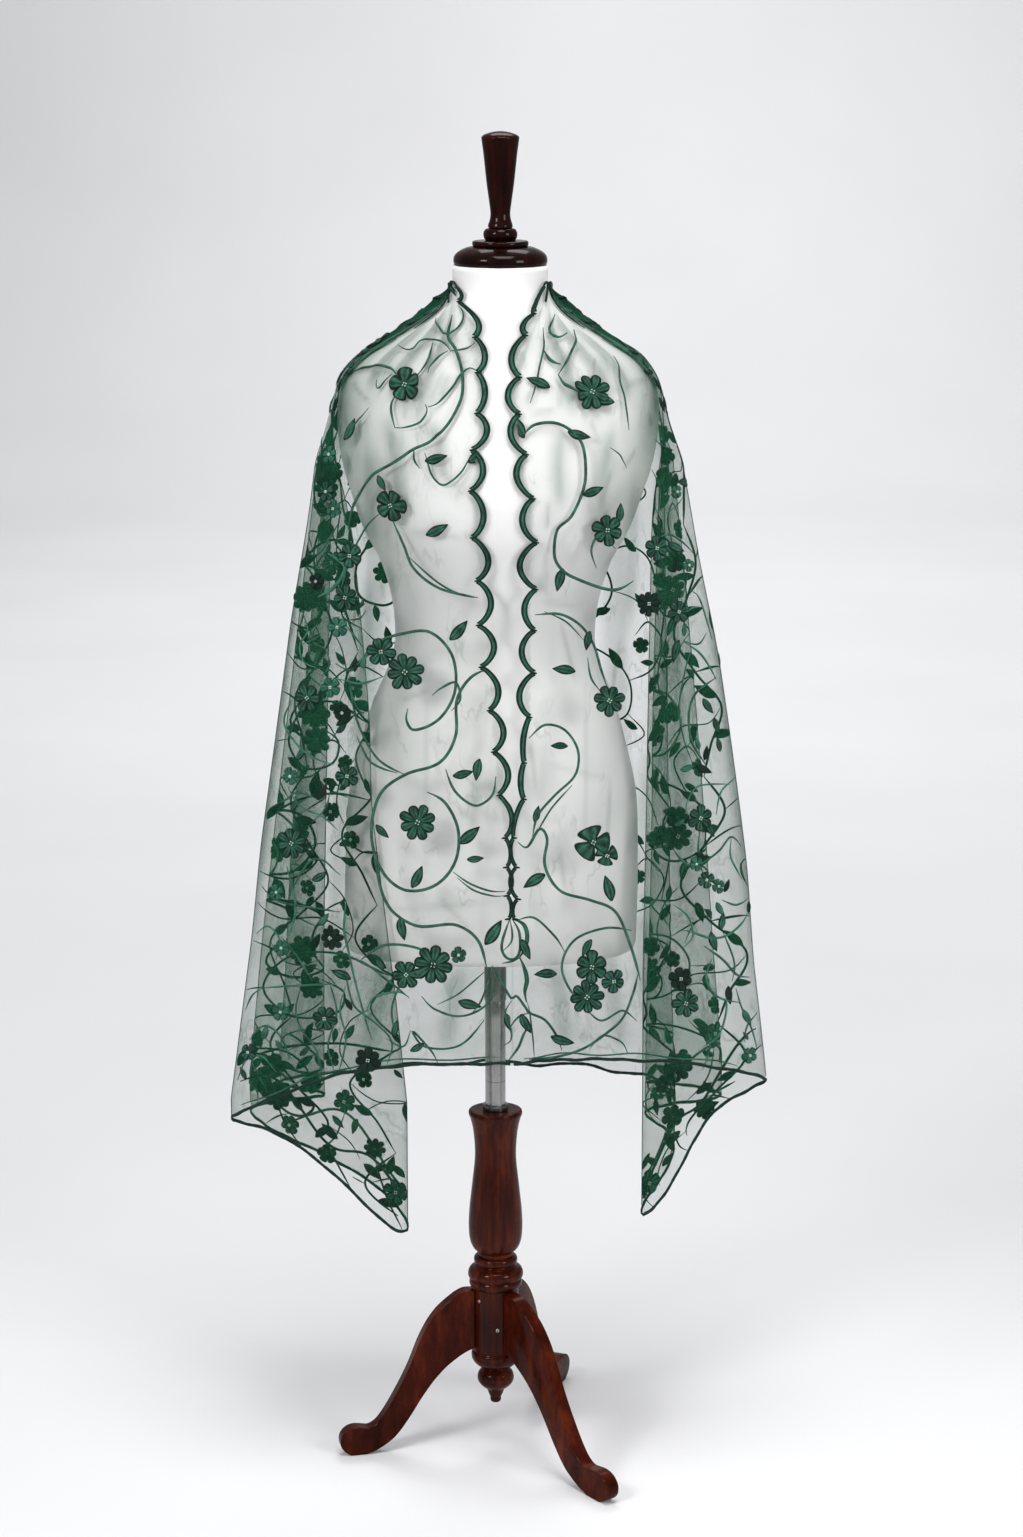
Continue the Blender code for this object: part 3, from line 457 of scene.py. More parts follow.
def patchOnNet(pile, u0, h0, turn, stations, halfWidths, rises, section=leafSection, bend=0.0, base=0.0003,
               slot=0):
    # a petal or leaf: stations are metres along it, laid from u0, h0 in the direction of turn
    a = stations[:, None]
    b = halfWidths[:, None] * section[None, :, 0]
    curve = bend * (stations / max(stations[-1], 1e-6)) ** 2 * stations[-1]
    b = b + curve[:, None]
    x = a * math.cos(turn) - b * math.sin(turn)
    y = a * math.sin(turn) + b * math.cos(turn)
    u, h = nearby(u0, h0, x.ravel(), y.ravel())
    height = base + (rises[:, None] * section[None, :, 1]).ravel()
    points, _ = onNet(u, h, height)
    uvs = np.stack((np.broadcast_to(a, x.shape), np.broadcast_to(b, x.shape)), -1)
    ends = np.zeros(len(stations))
    ends[[0, -1]] = 1.0
    ends[-2] = 0.5
    # a dark stitched outline round the sides and ends, and painted shade along the leaf's middle groove
    outlineAndShade = np.maximum(ends[:, None], (np.abs(section[:, 0]) > 0.8)[None] * np.array(1.0))
    vein = (np.abs(section[:, 0]) < 0.01)[None] * 0.45
    pile.addRings(points.reshape(*x.shape, 3), uvs, slot, np.maximum(outlineAndShade, vein).ravel())


leafShape = {"stations": np.linspace(0.0, 1.0, 9), "length": 0.029, "width": 0.0125, "rise": 0.0017,
             "lean": 0.82, "fullness": 0.85, "ends": (0.02, 0.985), "leastRise": 0.25}


def leafOnNet(pile, u0, h0, turn, size=1.0, bend=0.12, slot=0):
    s = leafShape["stations"]
    wide = np.sin(math.pi * np.clip(s, *leafShape["ends"]) ** leafShape["lean"]) ** leafShape["fullness"]
    patchOnNet(pile, u0, h0, turn, s * leafShape["length"] * size, wide * leafShape["width"] * 0.5 * size,
               np.maximum(wide, leafShape["leastRise"]) * leafShape["rise"], bend=bend, slot=slot)


flowerShape = {"radius": 0.0215, "heart": 0.0042, "rise": 0.0019, "knot": 0.0010,
               "along": (0.0, 0.12, 0.3, 0.5, 0.68, 0.82, 0.93, 1.0),
               "wide": (0.34, 0.46, 0.66, 0.88, 1.0, 0.93, 0.68, 0.26), "fill": 0.72, "start": 0.6,
               "uneven": 0.06, "dome": ((1.0, 0.0), (0.95, 0.55), (0.6, 0.95), (0.2, 1.0)), "domeRise": 0.0024,
               "domeSides": 10, "knots": 4}
paleSlot = 2


def flowerOnNet(pile, u0, h0, size, petals, turn, slot):
    petals = int(petals)
    radius = flowerShape["radius"] * size
    heart = flowerShape["heart"] * size
    s = np.array(flowerShape["along"])
    wide = np.array(flowerShape["wide"])
    start = heart * flowerShape["start"]
    half = math.pi / petals * radius * flowerShape["fill"]
    for k in range(petals):
        way = turn + math.tau * k / petals
        reach = radius * (1.0 + flowerShape["uneven"] * math.sin(3.7 * k + 9.0 * turn))
        patchOnNet(pile, u0, h0, way, start + s * (reach - start), wide * half,
                   flowerShape["rise"] * (0.6 + 0.4 * wide), base=0.0006, slot=slot)
    sides = flowerShape["domeSides"]
    turns = ringOf(sides)
    rings = []
    for share, tall in flowerShape["dome"]:
        u, h = nearby(u0, h0, heart * share * np.cos(turns), heart * share * np.sin(turns))
        points, _ = onNet(u, h, np.full(sides, 0.0008 + flowerShape["domeRise"] * tall))
        rings.append(points)
    pile.addRings(np.array(rings), np.zeros((len(rings), sides, 2)) + (0.01, 0.02), slot)
    for k in range(flowerShape["knots"]):
        way = turn + math.tau * k / flowerShape["knots"]
        out = np.array((heart * 0.55,))
        u, h = nearby(u0, h0, out * math.cos(way), out * math.sin(way))
        knot, normal = onNet(u, h, np.array((0.0030,)))
        beadOn(pile, knot[0], normal[0], flowerShape["knot"], paleSlot)


beadShape = {"sides": 6, "rings": ((0.8, -0.6), (1.0, 0.0), (0.7, 0.7), (0.15, 1.0)), "lean": (0.3, 0.2, 0.93)}


def domeOf(centre, across, other, out, shape, sides):
    # rings of a small round head: shape holds the reach and the rise of each
    turns = ringOf(sides)
    circle = np.cos(turns)[:, None] * across + np.sin(turns)[:, None] * other
    return np.array([centre + (share * circle + tall * out) for share, tall in shape])


def beadOn(pile, centre, normal, radius, slot):
    side = unit(np.cross(normal, beadShape["lean"]))
    shape = radius * np.array(beadShape["rings"])
    rings = domeOf(centre, side, np.cross(normal, side), normal, shape, beadShape["sides"])
    pile.addRings(rings, np.zeros((*rings.shape[:2], 2)), slot)


# Materials

def newMaterial(name, colour, roughness, metallic=0.0):
    material = bpy.data.materials.new(name)
    material.use_nodes = True
    shader = material.node_tree.nodes["Principled BSDF"]
    shader.inputs["Base Color"].default_value = (*colour, 1.0)
    shader.inputs["Roughness"].default_value = roughness
    shader.inputs["Metallic"].default_value = metallic
    return material, material.node_tree, shader


def addNode(tree, kind, inputs=None, **settings):
    node = tree.nodes.new(kind)
    for name, value in settings.items():
        setattr(node, name, value)
    for name, value in (inputs or {}).items():
        if isinstance(value, bpy.types.NodeSocket):
            tree.links.new(value, node.inputs[name])
        else:
            node.inputs[name].default_value = value
    return node


def sums(tree, operation, first, second=0.0, clamp=False):
    node = addNode(tree, "ShaderNodeMath", {0: first, 1: second}, operation=operation)
    node.use_clamp = clamp
    return node.outputs[0]


def plus(tree, first, second, clamp=False):
    return sums(tree, "ADD", first, second, clamp)


def minus(tree, first, second):
    return sums(tree, "SUBTRACT", first, second)


def times(tree, first, second):
    return sums(tree, "MULTIPLY", first, second)


def noise(tree, vector, scale, detail=3.0, rough=0.5):
    return addNode(tree, "ShaderNodeTexNoise", {"Vector": vector, "Scale": scale, "Detail": detail,
                                                "Roughness": rough}).outputs["Fac"]


def stretched(tree, vector, scale):
    return addNode(tree, "ShaderNodeMapping", {"Vector": vector, "Scale": scale}).outputs["Vector"]


def ramp(tree, factor, stops):
    node = addNode(tree, "ShaderNodeValToRGB", {"Fac": factor})
    elements = node.color_ramp.elements
    while len(elements) < len(stops):
        elements.new(0.5)
    for element, (place, colour) in zip(elements, stops):
        element.position = place
        element.color = (*colour, 1.0)
    return node.outputs["Color"]


def span(tree, value, low, high, toLow, toHigh):
    return addNode(tree, "ShaderNodeMapRange", {"Value": value, "From Min": low, "From Max": high,
                                                "To Min": toLow, "To Max": toHigh}).outputs["Result"]


def attribute(tree, name):
    return addNode(tree, "ShaderNodeAttribute", attribute_name=name).outputs["Fac"]


def coordinate(tree, kind):
    return addNode(tree, "ShaderNodeTexCoord").outputs[kind]


def bump(tree, shader, height, distance, strength):
    node = addNode(tree, "ShaderNodeBump", {"Height": height, "Distance": distance, "Strength": strength})
    tree.links.new(node.outputs["Normal"], shader.inputs["Normal"])


netLook = {"colour": (0.014, 0.085, 0.055), "cell": 0.0019, "thread": 0.13, "open": 0.135,
           "threadCover": 0.52, "patchy": 0.22, "drawnOut": 0.25, "tone": (16.0, 4.0, 0.6),
           "wrinkle": 0.17, "wrinkleWidth": 0.011, "wrinkleRuns": ((5.0, 0.35), (7.5, -0.5)), "stretch": 0.42,
           # the darkest tint is painted shade for creased, folded and gathered net
           "pressedAndShaded": (0.0035, 0.0190, 0.0120), "deep": (0.0080, 0.0700, 0.0360),
           "light": (0.0190, 0.1200, 0.0580)}


def netMaterial():
    material, tree, shader = newMaterial("greenNet", netLook["colour"], 0.62)
    uv = coordinate(tree, "UV")
    parts = addNode(tree, "ShaderNodeSeparateXYZ", {"Vector": uv})
    threads = []
    for operation in ("ADD", "SUBTRACT"):
        run = sums(tree, operation, parts.outputs["X"], parts.outputs["Y"])
        swing = sums(tree, "PINGPONG", sums(tree, "DIVIDE", run, netLook["cell"]), 0.5)
        threads.append(span(tree, swing, netLook["thread"] * 0.35, netLook["thread"], 1.0, 0.0))
    mesh = sums(tree, "MAXIMUM", threads[0], threads[1], clamp=True)
    tone = noise(tree, uv, *netLook["tone"])
    densityAndShade = attribute(tree, "densityAndShade")
    cover = plus(tree, times(tree, mesh, netLook["threadCover"] - netLook["open"]), netLook["open"])
    patchy = netLook["patchy"]
    cover = times(tree, cover, span(tree, tone, 0.3, 0.7, 1.0 - patchy, 1.0 + patchy))
    drawnOut = attribute(tree, "drawnOut")
    cover = times(tree, cover, span(tree, drawnOut, 0.0, 1.0, 1.0, netLook["drawnOut"]))
    wrinkles = 0.0
    for scale, turn in netLook["wrinkleRuns"]:
        turned = addNode(tree, "ShaderNodeMapping", {"Vector": uv, "Rotation": (0.0, 0.0, turn),
                                                     "Scale": (scale, scale * netLook["stretch"], 1.0)
                                                     }).outputs["Vector"]
        field = noise(tree, turned, 1.6, 5.0, 0.55)
        apart = sums(tree, "ABSOLUTE", minus(tree, field, 0.5))
        ridge = span(tree, apart, 0.0, netLook["wrinkleWidth"], 1.0, 0.0)
        patch = span(tree, noise(tree, uv, 9.0 + scale, 2.0), 0.48, 0.62, 0.0, 1.0)
        wrinkles = sums(tree, "MAXIMUM", times(tree, ridge, patch), wrinkles, clamp=True)
    cover = plus(tree, cover, times(tree, wrinkles, netLook["wrinkle"]))
    cover = plus(tree, cover, densityAndShade, clamp=True)
    tree.links.new(cover, shader.inputs["Alpha"])
    stops = tuple(zip((0.05, 0.3, 0.7), (netLook["pressedAndShaded"], netLook["deep"], netLook["light"])))
    # painted shade: creased, folded and gathered net is given a darker tint
    tint = ramp(tree, minus(tree, tone, times(tree, densityAndShade, 0.50)), stops)
    tree.links.new(tint, shader.inputs["Base Color"])
    bump(tree, shader, mesh, 0.0002, 0.4)
    shader.inputs["Specular IOR Level"].default_value = 0.06
    return material


threadLook = {"stitch": 0.00075, "roughness": (0.58, 0.40), "specular": 0.17, "bump": 0.00035,
              "outlineAndShadeDepth": 0.50, "tones": (0.26, 0.72)}


def threadMaterial(name, dark, pale):
    # satin stitch: fine parallel threads across the cord, each ridge painted lighter and the gap between
    # stitches darker as painted shade, and soft light and dark stretches of random tone
    material, tree, shader = newMaterial(name, pale, threadLook["roughness"][1])
    uv = coordinate(tree, "UV")
    parts = addNode(tree, "ShaderNodeSeparateXYZ", {"Vector": uv})
    wobble = noise(tree, uv, 260.0, 2.0)
    run = plus(tree, sums(tree, "DIVIDE", parts.outputs["X"], threadLook["stitch"]),
               times(tree, wobble, 0.9))
    stitch = span(tree, sums(tree, "SINE", times(tree, run, math.tau)), -1.0, 1.0, 0.0, 1.0)
    place = addNode(tree, "ShaderNodeNewGeometry").outputs["Position"]
    # random tone, plus the stitch wave as painted shade between the stitches
    tone = plus(tree, times(tree, noise(tree, place, 95.0, 4.0, 0.65), 0.75),
                times(tree, stitch, 0.25))
    # darker thread at the stitched outlines, and painted shade on cord flanks and in leaf grooves
    outlineAndShade = attribute(tree, "outlineAndShade")
    tone = minus(tree, tone, times(tree, outlineAndShade, threadLook["outlineAndShadeDepth"]))
    tree.links.new(ramp(tree, tone, tuple(zip(threadLook["tones"], (dark, pale)))), shader.inputs["Base Color"])
    tree.links.new(span(tree, stitch, 0.0, 1.0, *threadLook["roughness"]), shader.inputs["Roughness"])
    bump(tree, shader, stitch, threadLook["bump"], 0.7)
    shader.inputs["Specular IOR Level"].default_value = threadLook["specular"]
    return material


woodLook = {"dark": (0.0150, 0.0019, 0.0008), "middle": (0.0460, 0.0058, 0.0020),
            "warm": (0.1250, 0.0215, 0.0062), "tones": (0.36, 0.50, 0.66), "roughness": (0.24, 0.42),
            "coatRoughness": 0.05, "specular": 0.02, "figure": (9.0, 3.0, 0.55), "figureShare": 0.38,
            "rub": (60.0, 3.0, 0.6)}


def woodMaterial(name, grainScale, depth, coat):
    material, tree, shader = newMaterial(name, woodLook["middle"], woodLook["roughness"][0])
    place = coordinate(tree, "Object")
    grain = noise(tree, stretched(tree, place, grainScale), 1.0, 6.0, 0.62)
    figure = noise(tree, place, *woodLook["figure"])
    share = woodLook["figureShare"]
    tone = plus(tree, times(tree, grain, 1.0 - share), times(tree, figure, share))
    stops = [tuple(c * depth for c in woodLook[part]) for part in ("dark", "middle", "warm")]
    colours = ramp(tree, tone, tuple(zip(woodLook["tones"], stops)))
    pointy = addNode(tree, "ShaderNodeNewGeometry").outputs["Pointiness"]
    worn = span(tree, pointy, 0.54, 0.62, 0.0, 0.35)
    tree.links.new(colours, shader.inputs["Base Color"])
    rub = noise(tree, place, *woodLook["rub"])
    tree.links.new(span(tree, plus(tree, rub, times(tree, worn, 0.4)), 0.3, 0.9, *woodLook["roughness"]),
                   shader.inputs["Roughness"])
    bump(tree, shader, grain, 0.0002, 0.22)
    shader.inputs["Coat Weight"].default_value = coat
    shader.inputs["Coat Roughness"].default_value = woodLook["coatRoughness"]
    shader.inputs["Specular IOR Level"].default_value = woodLook["specular"]
    return material


steelLook = {"roughness": (0.20, 0.36), "rings": ((0.5005, 0.0011), (0.4745, 0.0009))}


def steelMaterial(name, colour, dirt):
    material, tree, shader = newMaterial(name, colour, 0.28, 1.0)
    place = coordinate(tree, "Object")
    drawn = noise(tree, stretched(tree, place, (900.0, 900.0, 9.0)), 1.0, 4.0, 0.6)
    haze = noise(tree, place, 34.0, 4.0, 0.6)
    dull = plus(tree, times(tree, drawn, 0.6), times(tree, haze, 0.4))
    tree.links.new(span(tree, dull, 0.3, 0.7, *steelLook["roughness"]), shader.inputs["Roughness"])
    height = addNode(tree, "ShaderNodeSeparateXYZ", {"Vector": place}).outputs["Z"]
    rings = 0.0
    for level, half in steelLook["rings"]:
        far = sums(tree, "ABSOLUTE", minus(tree, height, level))
        rings = plus(tree, span(tree, far, half * 0.4, half, 1.0, 0.0), rings, clamp=True)
    shade = ramp(tree, plus(tree, haze, times(tree, rings, -0.45)),
                 ((0.05, tuple(c * dirt for c in colour)), (0.62, colour)))
    tree.links.new(shade, shader.inputs["Base Color"])
    bump(tree, shader, minus(tree, drawn, rings), 0.0003, 0.3)
    return material


coverLook = {"colour": (0.80, 0.80, 0.785), "grey": (0.755, 0.755, 0.74), "white": (0.835, 0.835, 0.82),
             "wale": 0.0011, "course": 0.0009, "sheen": 0.15}


def coverMaterial():
    # fine white jersey: rows of small loops, and seams down the sides and the centre back
    material, tree, shader = newMaterial("whiteJersey", coverLook["colour"], 0.72)
    uv = coordinate(tree, "UV")
    parts = addNode(tree, "ShaderNodeSeparateXYZ", {"Vector": uv})
    wale = sums(tree, "SINE", times(tree, parts.outputs["X"], math.tau / coverLook["wale"]))
    along = times(tree, parts.outputs["Y"], math.tau / coverLook["course"])
    course = sums(tree, "SINE", plus(tree, along, wale))
    loops = span(tree, plus(tree, wale, course), -2.0, 2.0, 0.0, 1.0)
    soft = noise(tree, uv, 7.0, 3.0, 0.5)
    # the loops lighten the ridges and darken the gaps as painted shade on the knit; the soft noise is random
    # tone
    shade = ramp(tree, plus(tree, times(tree, loops, 0.4), times(tree, soft, 0.6)),
                 ((0.2, coverLook["grey"]), (0.8, coverLook["white"])))
    tree.links.new(shade, shader.inputs["Base Color"])
    tree.links.new(span(tree, loops, 0.0, 1.0, 0.78, 0.66), shader.inputs["Roughness"])
    bump(tree, shader, loops, 0.00025, 0.35)
    shader.inputs["Sheen Weight"].default_value = coverLook["sheen"]
    return material


greenNet = netMaterial()
greenThread = threadMaterial("greenSatin", (0.0024, 0.0165, 0.0105), (0.0540, 0.2150, 0.1400))
# dark satin: the real dark thread of the border and hem cords, also used as painted shade on the deeper fold
# layers
darkThread = threadMaterial("darkSatin", (0.0012, 0.0085, 0.0056), (0.0070, 0.0400, 0.0265))
# a lighter copy of the green satin: painted highlight for wing motifs that face forward
highlightThread = threadMaterial("highlightSatin", (0.0080, 0.0560, 0.0350), (0.0720, 0.2700, 0.1780))
paleThread = threadMaterial("paleKnots", (0.30, 0.38, 0.30), (0.55, 0.60, 0.50))
turnedWood = woodMaterial("turnedMahogany", (95.0, 95.0, 7.0), 0.85, 0.20)
capWood = woodMaterial("darkMahogany", (95.0, 95.0, 7.0), 0.24, 0.22)
boardWood = woodMaterial("sawnMahogany", (45.0, 45.0, 12.0), 0.92, 0.09)
brightSteel = steelMaterial("drawnSteel", (0.35, 0.345, 0.34), 0.55)
darkSteel = steelMaterial("dulledSteel", (0.17, 0.17, 0.165), 0.6)
whiteCover = coverMaterial()
print("materials ready")


# The net itself: one open sheet

netGrid = {"columns": 425, "rowsAbove": 168, "rowsBelow": 44, "levelAbove": 0.645, "scallopReach": 1.2,
           "level": 0.85, "byLength": 0.62, "byFold": 0.24, "byFront": 0.14, "front": 2.4}
# Scallops down each front, in mm: height of the upper cusp, how far the cusp and the crest below it stand past
# the net's plain edge
scallopsLeft = np.array((
    (1449, 6, 16), (1431, 6.2, 21.2), (1392, 11, 17), (1352, 4.5, 10.5), (1307, 0, 12.5), (1266, -2.5, 12.5),
    (1220, 0, 15.5), (1166, 0, 13.5), (1114, -2.8, 10.5), (1062, -6, 10), (1013, -6, 11.7), (962, 0, 14.2),
    (913, 0.8, 14.6), (862, 0, 11.5), (811, 0.8, 5), (776, -1, 4), (742, -1.5, 3), (714, 0, 0),
)) / mm
scallopsRight = np.array((
    (1449, 4, 16.5), (1418, 12, 19), (1394, 11, 19), (1347, 4, 14.5), (1306, 0, 11), (1261, -3.5, 12.3),
    (1211, -1, 15), (1160, -2.2, 14.4), (1104, -5, 9.2), (1056, -2, 13), (1006, -2, 15), (954, 1.8, 8),
    (900, 4.5, 6.8), (857, 0, 7), (811, 6, 7.2), (776, -1, 5), (738, -3.5, 2), (714, 0, 0),
)) / mm
scallop = {"tape": 0.0052, "cuspShare": 0.80, "lowShare": 0.50, "lowFrom": (0.76, 0.90), "neck": 0.043,
           "pinch": 0.714, "pinchFade": 0.02, "lap": 0.0022, "arch": 0.75, "step": 0.003,
           "outerCord": (0.002835, 0.0021), "innerCord": (0.00221, 0.0015), "tapeRise": (0.0003, 0.0009),
           "bar": 0.0060, "barIn": 0.0010, "barWidth": 0.0027, "barRise": 0.0024, "collarWidth": 0.0042,
           "collarRise": 0.0022, "neckDrop": 0.004, "neckLow": 0.0035, "neckArch": 0.0075, "neckSteps": 15}


def archOf(share):
    return np.sin(math.pi * share) ** scallop["arch"]


def edgeOffset(rows, height):
    # metres from the net's plain edge out to the middle of the outer line; below the pinch the edges lap
    rows = rows[::-1]
    at = np.clip(np.searchsorted(rows[:, 0], height) - 1, 0, len(rows) - 2)
    low = rows[at]
    top = rows[at + 1]
    share = np.clip((height - low[..., 0]) / (top[..., 0] - low[..., 0]), 0.0, 1.0)
    plain = mix(low[..., 1], top[..., 1], share)
    plain = plain + archOf(share) * (top[..., 2] - 0.5 * (low[..., 1] + top[..., 1]))
    pinch = scallop["pinch"]
    return mix(scallop["lap"], plain, ease(height, pinch - scallop["pinchFade"], pinch))


# The sharpest folds: u, then 1 where the fold points to the right
foldLines = ((4.50, 0), (7.76, 1), (11.36, 0), (13.70, 1), (15.44, 0),
             (23.44, 1), (25.64, 0), (27.28, 1), (29.26, 0), (33.42, 1))
foldRoll = {"width": 0.0021, "rise": 0.0009, "top": 1.262, "reach": 0.45, "spacing": 0.006}


def foldPath(u0, pointsRight):
    # follows the fold's outermost point down from the shoulder to the hem
    heights = np.arange(foldRoll["top"], float(hemAt(u0)) + 0.003, -0.012)
    u = u0 + np.linspace(-foldRoll["reach"], foldRoll["reach"], 61)
    points, _ = onNet(np.repeat(u[None], len(heights), axis=0), np.repeat(heights[:, None], len(u), axis=1))
    x = points[..., 0] if pointsRight else -points[..., 0]
    best = u[np.argmax(x, axis=1)]
    best = np.convolve(np.pad(best, 3, mode="edge"), np.ones(7) / 7.0, mode="valid")
    return np.stack((best, heights), 1)


def netColumns():
    level = levelRow(netGrid["level"])
    position = fromFront(gridU)
    front = np.cumsum(position < netGrid["front"])
    share = (netGrid["byLength"] * runU[:, level] / runU[-1, level] + netGrid["byFold"] * gridU / fullU
             + netGrid["byFront"] * front / front[-1])
    columns = np.interp(np.linspace(0.0, 1.0, netGrid["columns"] + 1), share / share[-1], gridU)
    columns[0] = 0.0
    return columns


def makeNet():
    columns = netColumns()
    above = np.linspace(drape["collarTop"], netGrid["levelAbove"], netGrid["rowsAbove"] + 1)
    shares = np.linspace(0.0, 1.0, netGrid["rowsBelow"] + 1)[1:]
    u = np.repeat(columns[:, None], len(above) + len(shares), axis=1)
    hem = hemAt(columns)[:, None]
    h = np.concatenate((np.repeat(above[None], len(columns), axis=0),
                        mix(netGrid["levelAbove"], hem, shares[None])), axis=1)
    pace = fromTable(speedU, np.full(h.shape[1], 0.2), h[0])
    left = edgeOffset(scallopsLeft, h) / pace
    right = edgeOffset(scallopsRight, h) / pace
    reach = netGrid["scallopReach"]
    u = u - left * (1.0 - ease(u, 0.0, reach)) + right * ease(u, fullU - reach, fullU)
    points, _ = onNet(u, h)
    rows = h.shape[1]
    index = np.arange(len(columns) * rows).reshape(len(columns), rows)
    faces = np.stack((index[:-1, :-1], index[:-1, 1:], index[1:, 1:], index[1:, :-1]), -1).reshape(-1, 4)
    level = levelRow(netGrid["level"])
    flatS = np.interp(u, gridU, runU[:, level])
    flatT = drape["collarTop"] - h
    pile = Pile()
    pile.add(points.reshape(-1, 3), faces.tolist(), np.stack((flatS, flatT), -1).reshape(-1, 2))
    for u0, pointsRight in foldLines:
        cordOnNet(pile, foldPath(u0, pointsRight), foldRoll["width"], foldRoll["rise"], (0.5, 0.8),
                  foldRoll["spacing"], base=-0.0002)
    item = pile.build("net_sheet", (greenNet,))
    rolls = pile.count - points[..., 0].size
    # the fold rolls get extra density and painted shade
    for name, values, ofRolls in (("densityAndShade", densityAndShadeAt(u, h), netDensityAndShade["roll"]),
                                  ("drawnOut", drawnOutAt(u, h), 0.0)):
        layer = item.data.attributes.new(name, "FLOAT", "POINT")
        layer.data.foreach_set("value", np.concatenate((values.ravel(), np.full(rolls, ofRolls))))
    return item


# how much denser and painted darker the net is in creases, folds, fold rolls, shoulder gathers and along the
# front edge
netDensityAndShade = {"crease": 0.24, "creaseRise": 0.004, "fold": 0.16, "foldStep": 0.12, "roll": 0.62,
           "gather": 0.44, "gatherFrom": (1.31, 1.40), "gatherOuter": (13.0, 15.0), "gatherWidth": 0.5,
           "gatherHeights": (1.34, 1.37, 1.41, 1.43), "gatherInner": (3.3, 2.7, 2.1, 1.6),
           "edge": 0.40, "edgeLow": (1.235, 1.30), "edgeTop": (1.36, 1.40), "edgeMiddle": 3.7, "edgeWidth": 0.8}


def densityAndShadeAt(u, h):
    # where the net is creased, folded or gathered it is a little denser, as doubled net is, and its tint is
    # painted darker there as painted shade; a painted dark band also runs along the front below the shoulder
    stand = standOut(u, h)
    pressedAndShaded = np.clip(stand / netDensityAndShade["creaseRise"], 0.0, 1.0) * netDensityAndShade["crease"]
    step = netDensityAndShade["foldStep"]
    before, _ = onNet(np.clip(u - step, 0.0, fullU), h)
    here, _ = onNet(np.clip(u, 0.0, fullU), h)
    after, _ = onNet(np.clip(u + step, 0.0, fullU), h)
    ahead = after - here
    behind = here - before
    turn = np.linalg.norm(unit(ahead) - unit(behind), axis=-1)
    spread = np.linalg.norm(after - before, axis=-1)
    tight = np.clip(turn / np.maximum(spread, 0.004) * 0.008, 0.0, 1.0)
    position = fromFront(u)
    inner = np.interp(h, netDensityAndShade["gatherHeights"], netDensityAndShade["gatherInner"])
    shoulder = ease(h, *netDensityAndShade["gatherFrom"]) * ease(position, inner, inner + netDensityAndShade["gatherWidth"])
    shoulder = shoulder * (1.0 - ease(position, *netDensityAndShade["gatherOuter"]))
    streaks = 0.58 + 0.42 * np.sin(position * 9.0 + h * 60.0) * np.sin(h * 110.0 - position * 2.0)
    corner = ease(h, *netDensityAndShade["edgeLow"]) * (1.0 - ease(h, *netDensityAndShade["edgeTop"]))
    corner = corner * np.exp(-((position - netDensityAndShade["edgeMiddle"]) / netDensityAndShade["edgeWidth"]) ** 2)
    return (pressedAndShaded + tight * netDensityAndShade["fold"] + shoulder * streaks * netDensityAndShade["gather"]
            + corner * netDensityAndShade["edge"])


netThin = {"left": (0.4, 2.9), "right": (3.5, 1.0), "chest": (1.27, 1.36), "chestLess": 0.22,
           "turned": 0.9, "turnedFrom": (5.6, 6.4), "turnedTo": (9.2, 10.0), "turnedTop": (0.88, 1.05),
           "back": (15.6, 16.8), "formEdge": (0.640, 0.665),
           "low": 0.92, "lowTop": (0.80, 0.95), "lowTo": (2.6, 4.2), "belowForm": 0.6}


def drawnOutAt(u, h):
    # the net is thinnest where it is stretched over the form
    position = fromFront(u)
    onForm = ease(h, *netThin["formEdge"])
    right = ease(u, fullU - netThin["right"][0], fullU - netThin["right"][1])
    front = np.maximum(1.0 - ease(u, *netThin["left"]), right)
    front = front * (1.0 - netThin["chestLess"] * ease(h, *netThin["chest"]))
    turned = ease(u, *netThin["turnedFrom"]) * (1.0 - ease(u, *netThin["turnedTo"]))
    turned = netThin["turned"] * (turned * (1.0 - ease(h, *netThin["turnedTop"])))
    lowFront = netThin["low"] * (1.0 - ease(h, *netThin["lowTop"])) * (1.0 - ease(position, *netThin["lowTo"]))
    lowFront = lowFront * mix(netThin["belowForm"], 1.0, onForm)
    onBody = np.maximum(np.maximum(front, ease(position, *netThin["back"])), turned) * onForm
    return np.maximum(onBody, lowFront)


netSheet = makeNet()
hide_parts(*["net_%s_%s" % (side, stretch) for side in ("left", "right")
                        for stretch in ("front_fall", "corner_fold", "inner_fold", "side_fold",
                                        "back_fold", "back_fall")])
print("net sheet ready", len(netSheet.data.polygons))


# Scalloped tape down both centre fronts and round the back of the neck

# Cords that close the border at the collar, left then right: u in hundredths, height in mm
collarEnds = (
    (105, 1428, 120, 1440, 105, 1448.5, 55, 1452, -5, 1452.2, -50, 1448),
    (20, 1430, 35, 1442, 40, 1450, 10, 1452.2, -30, 1449),
)


def tapeWidth(arch):
    # narrower at each cusp
    return scallop["tape"] * mix(scallop["cuspShare"], 1.0, arch)


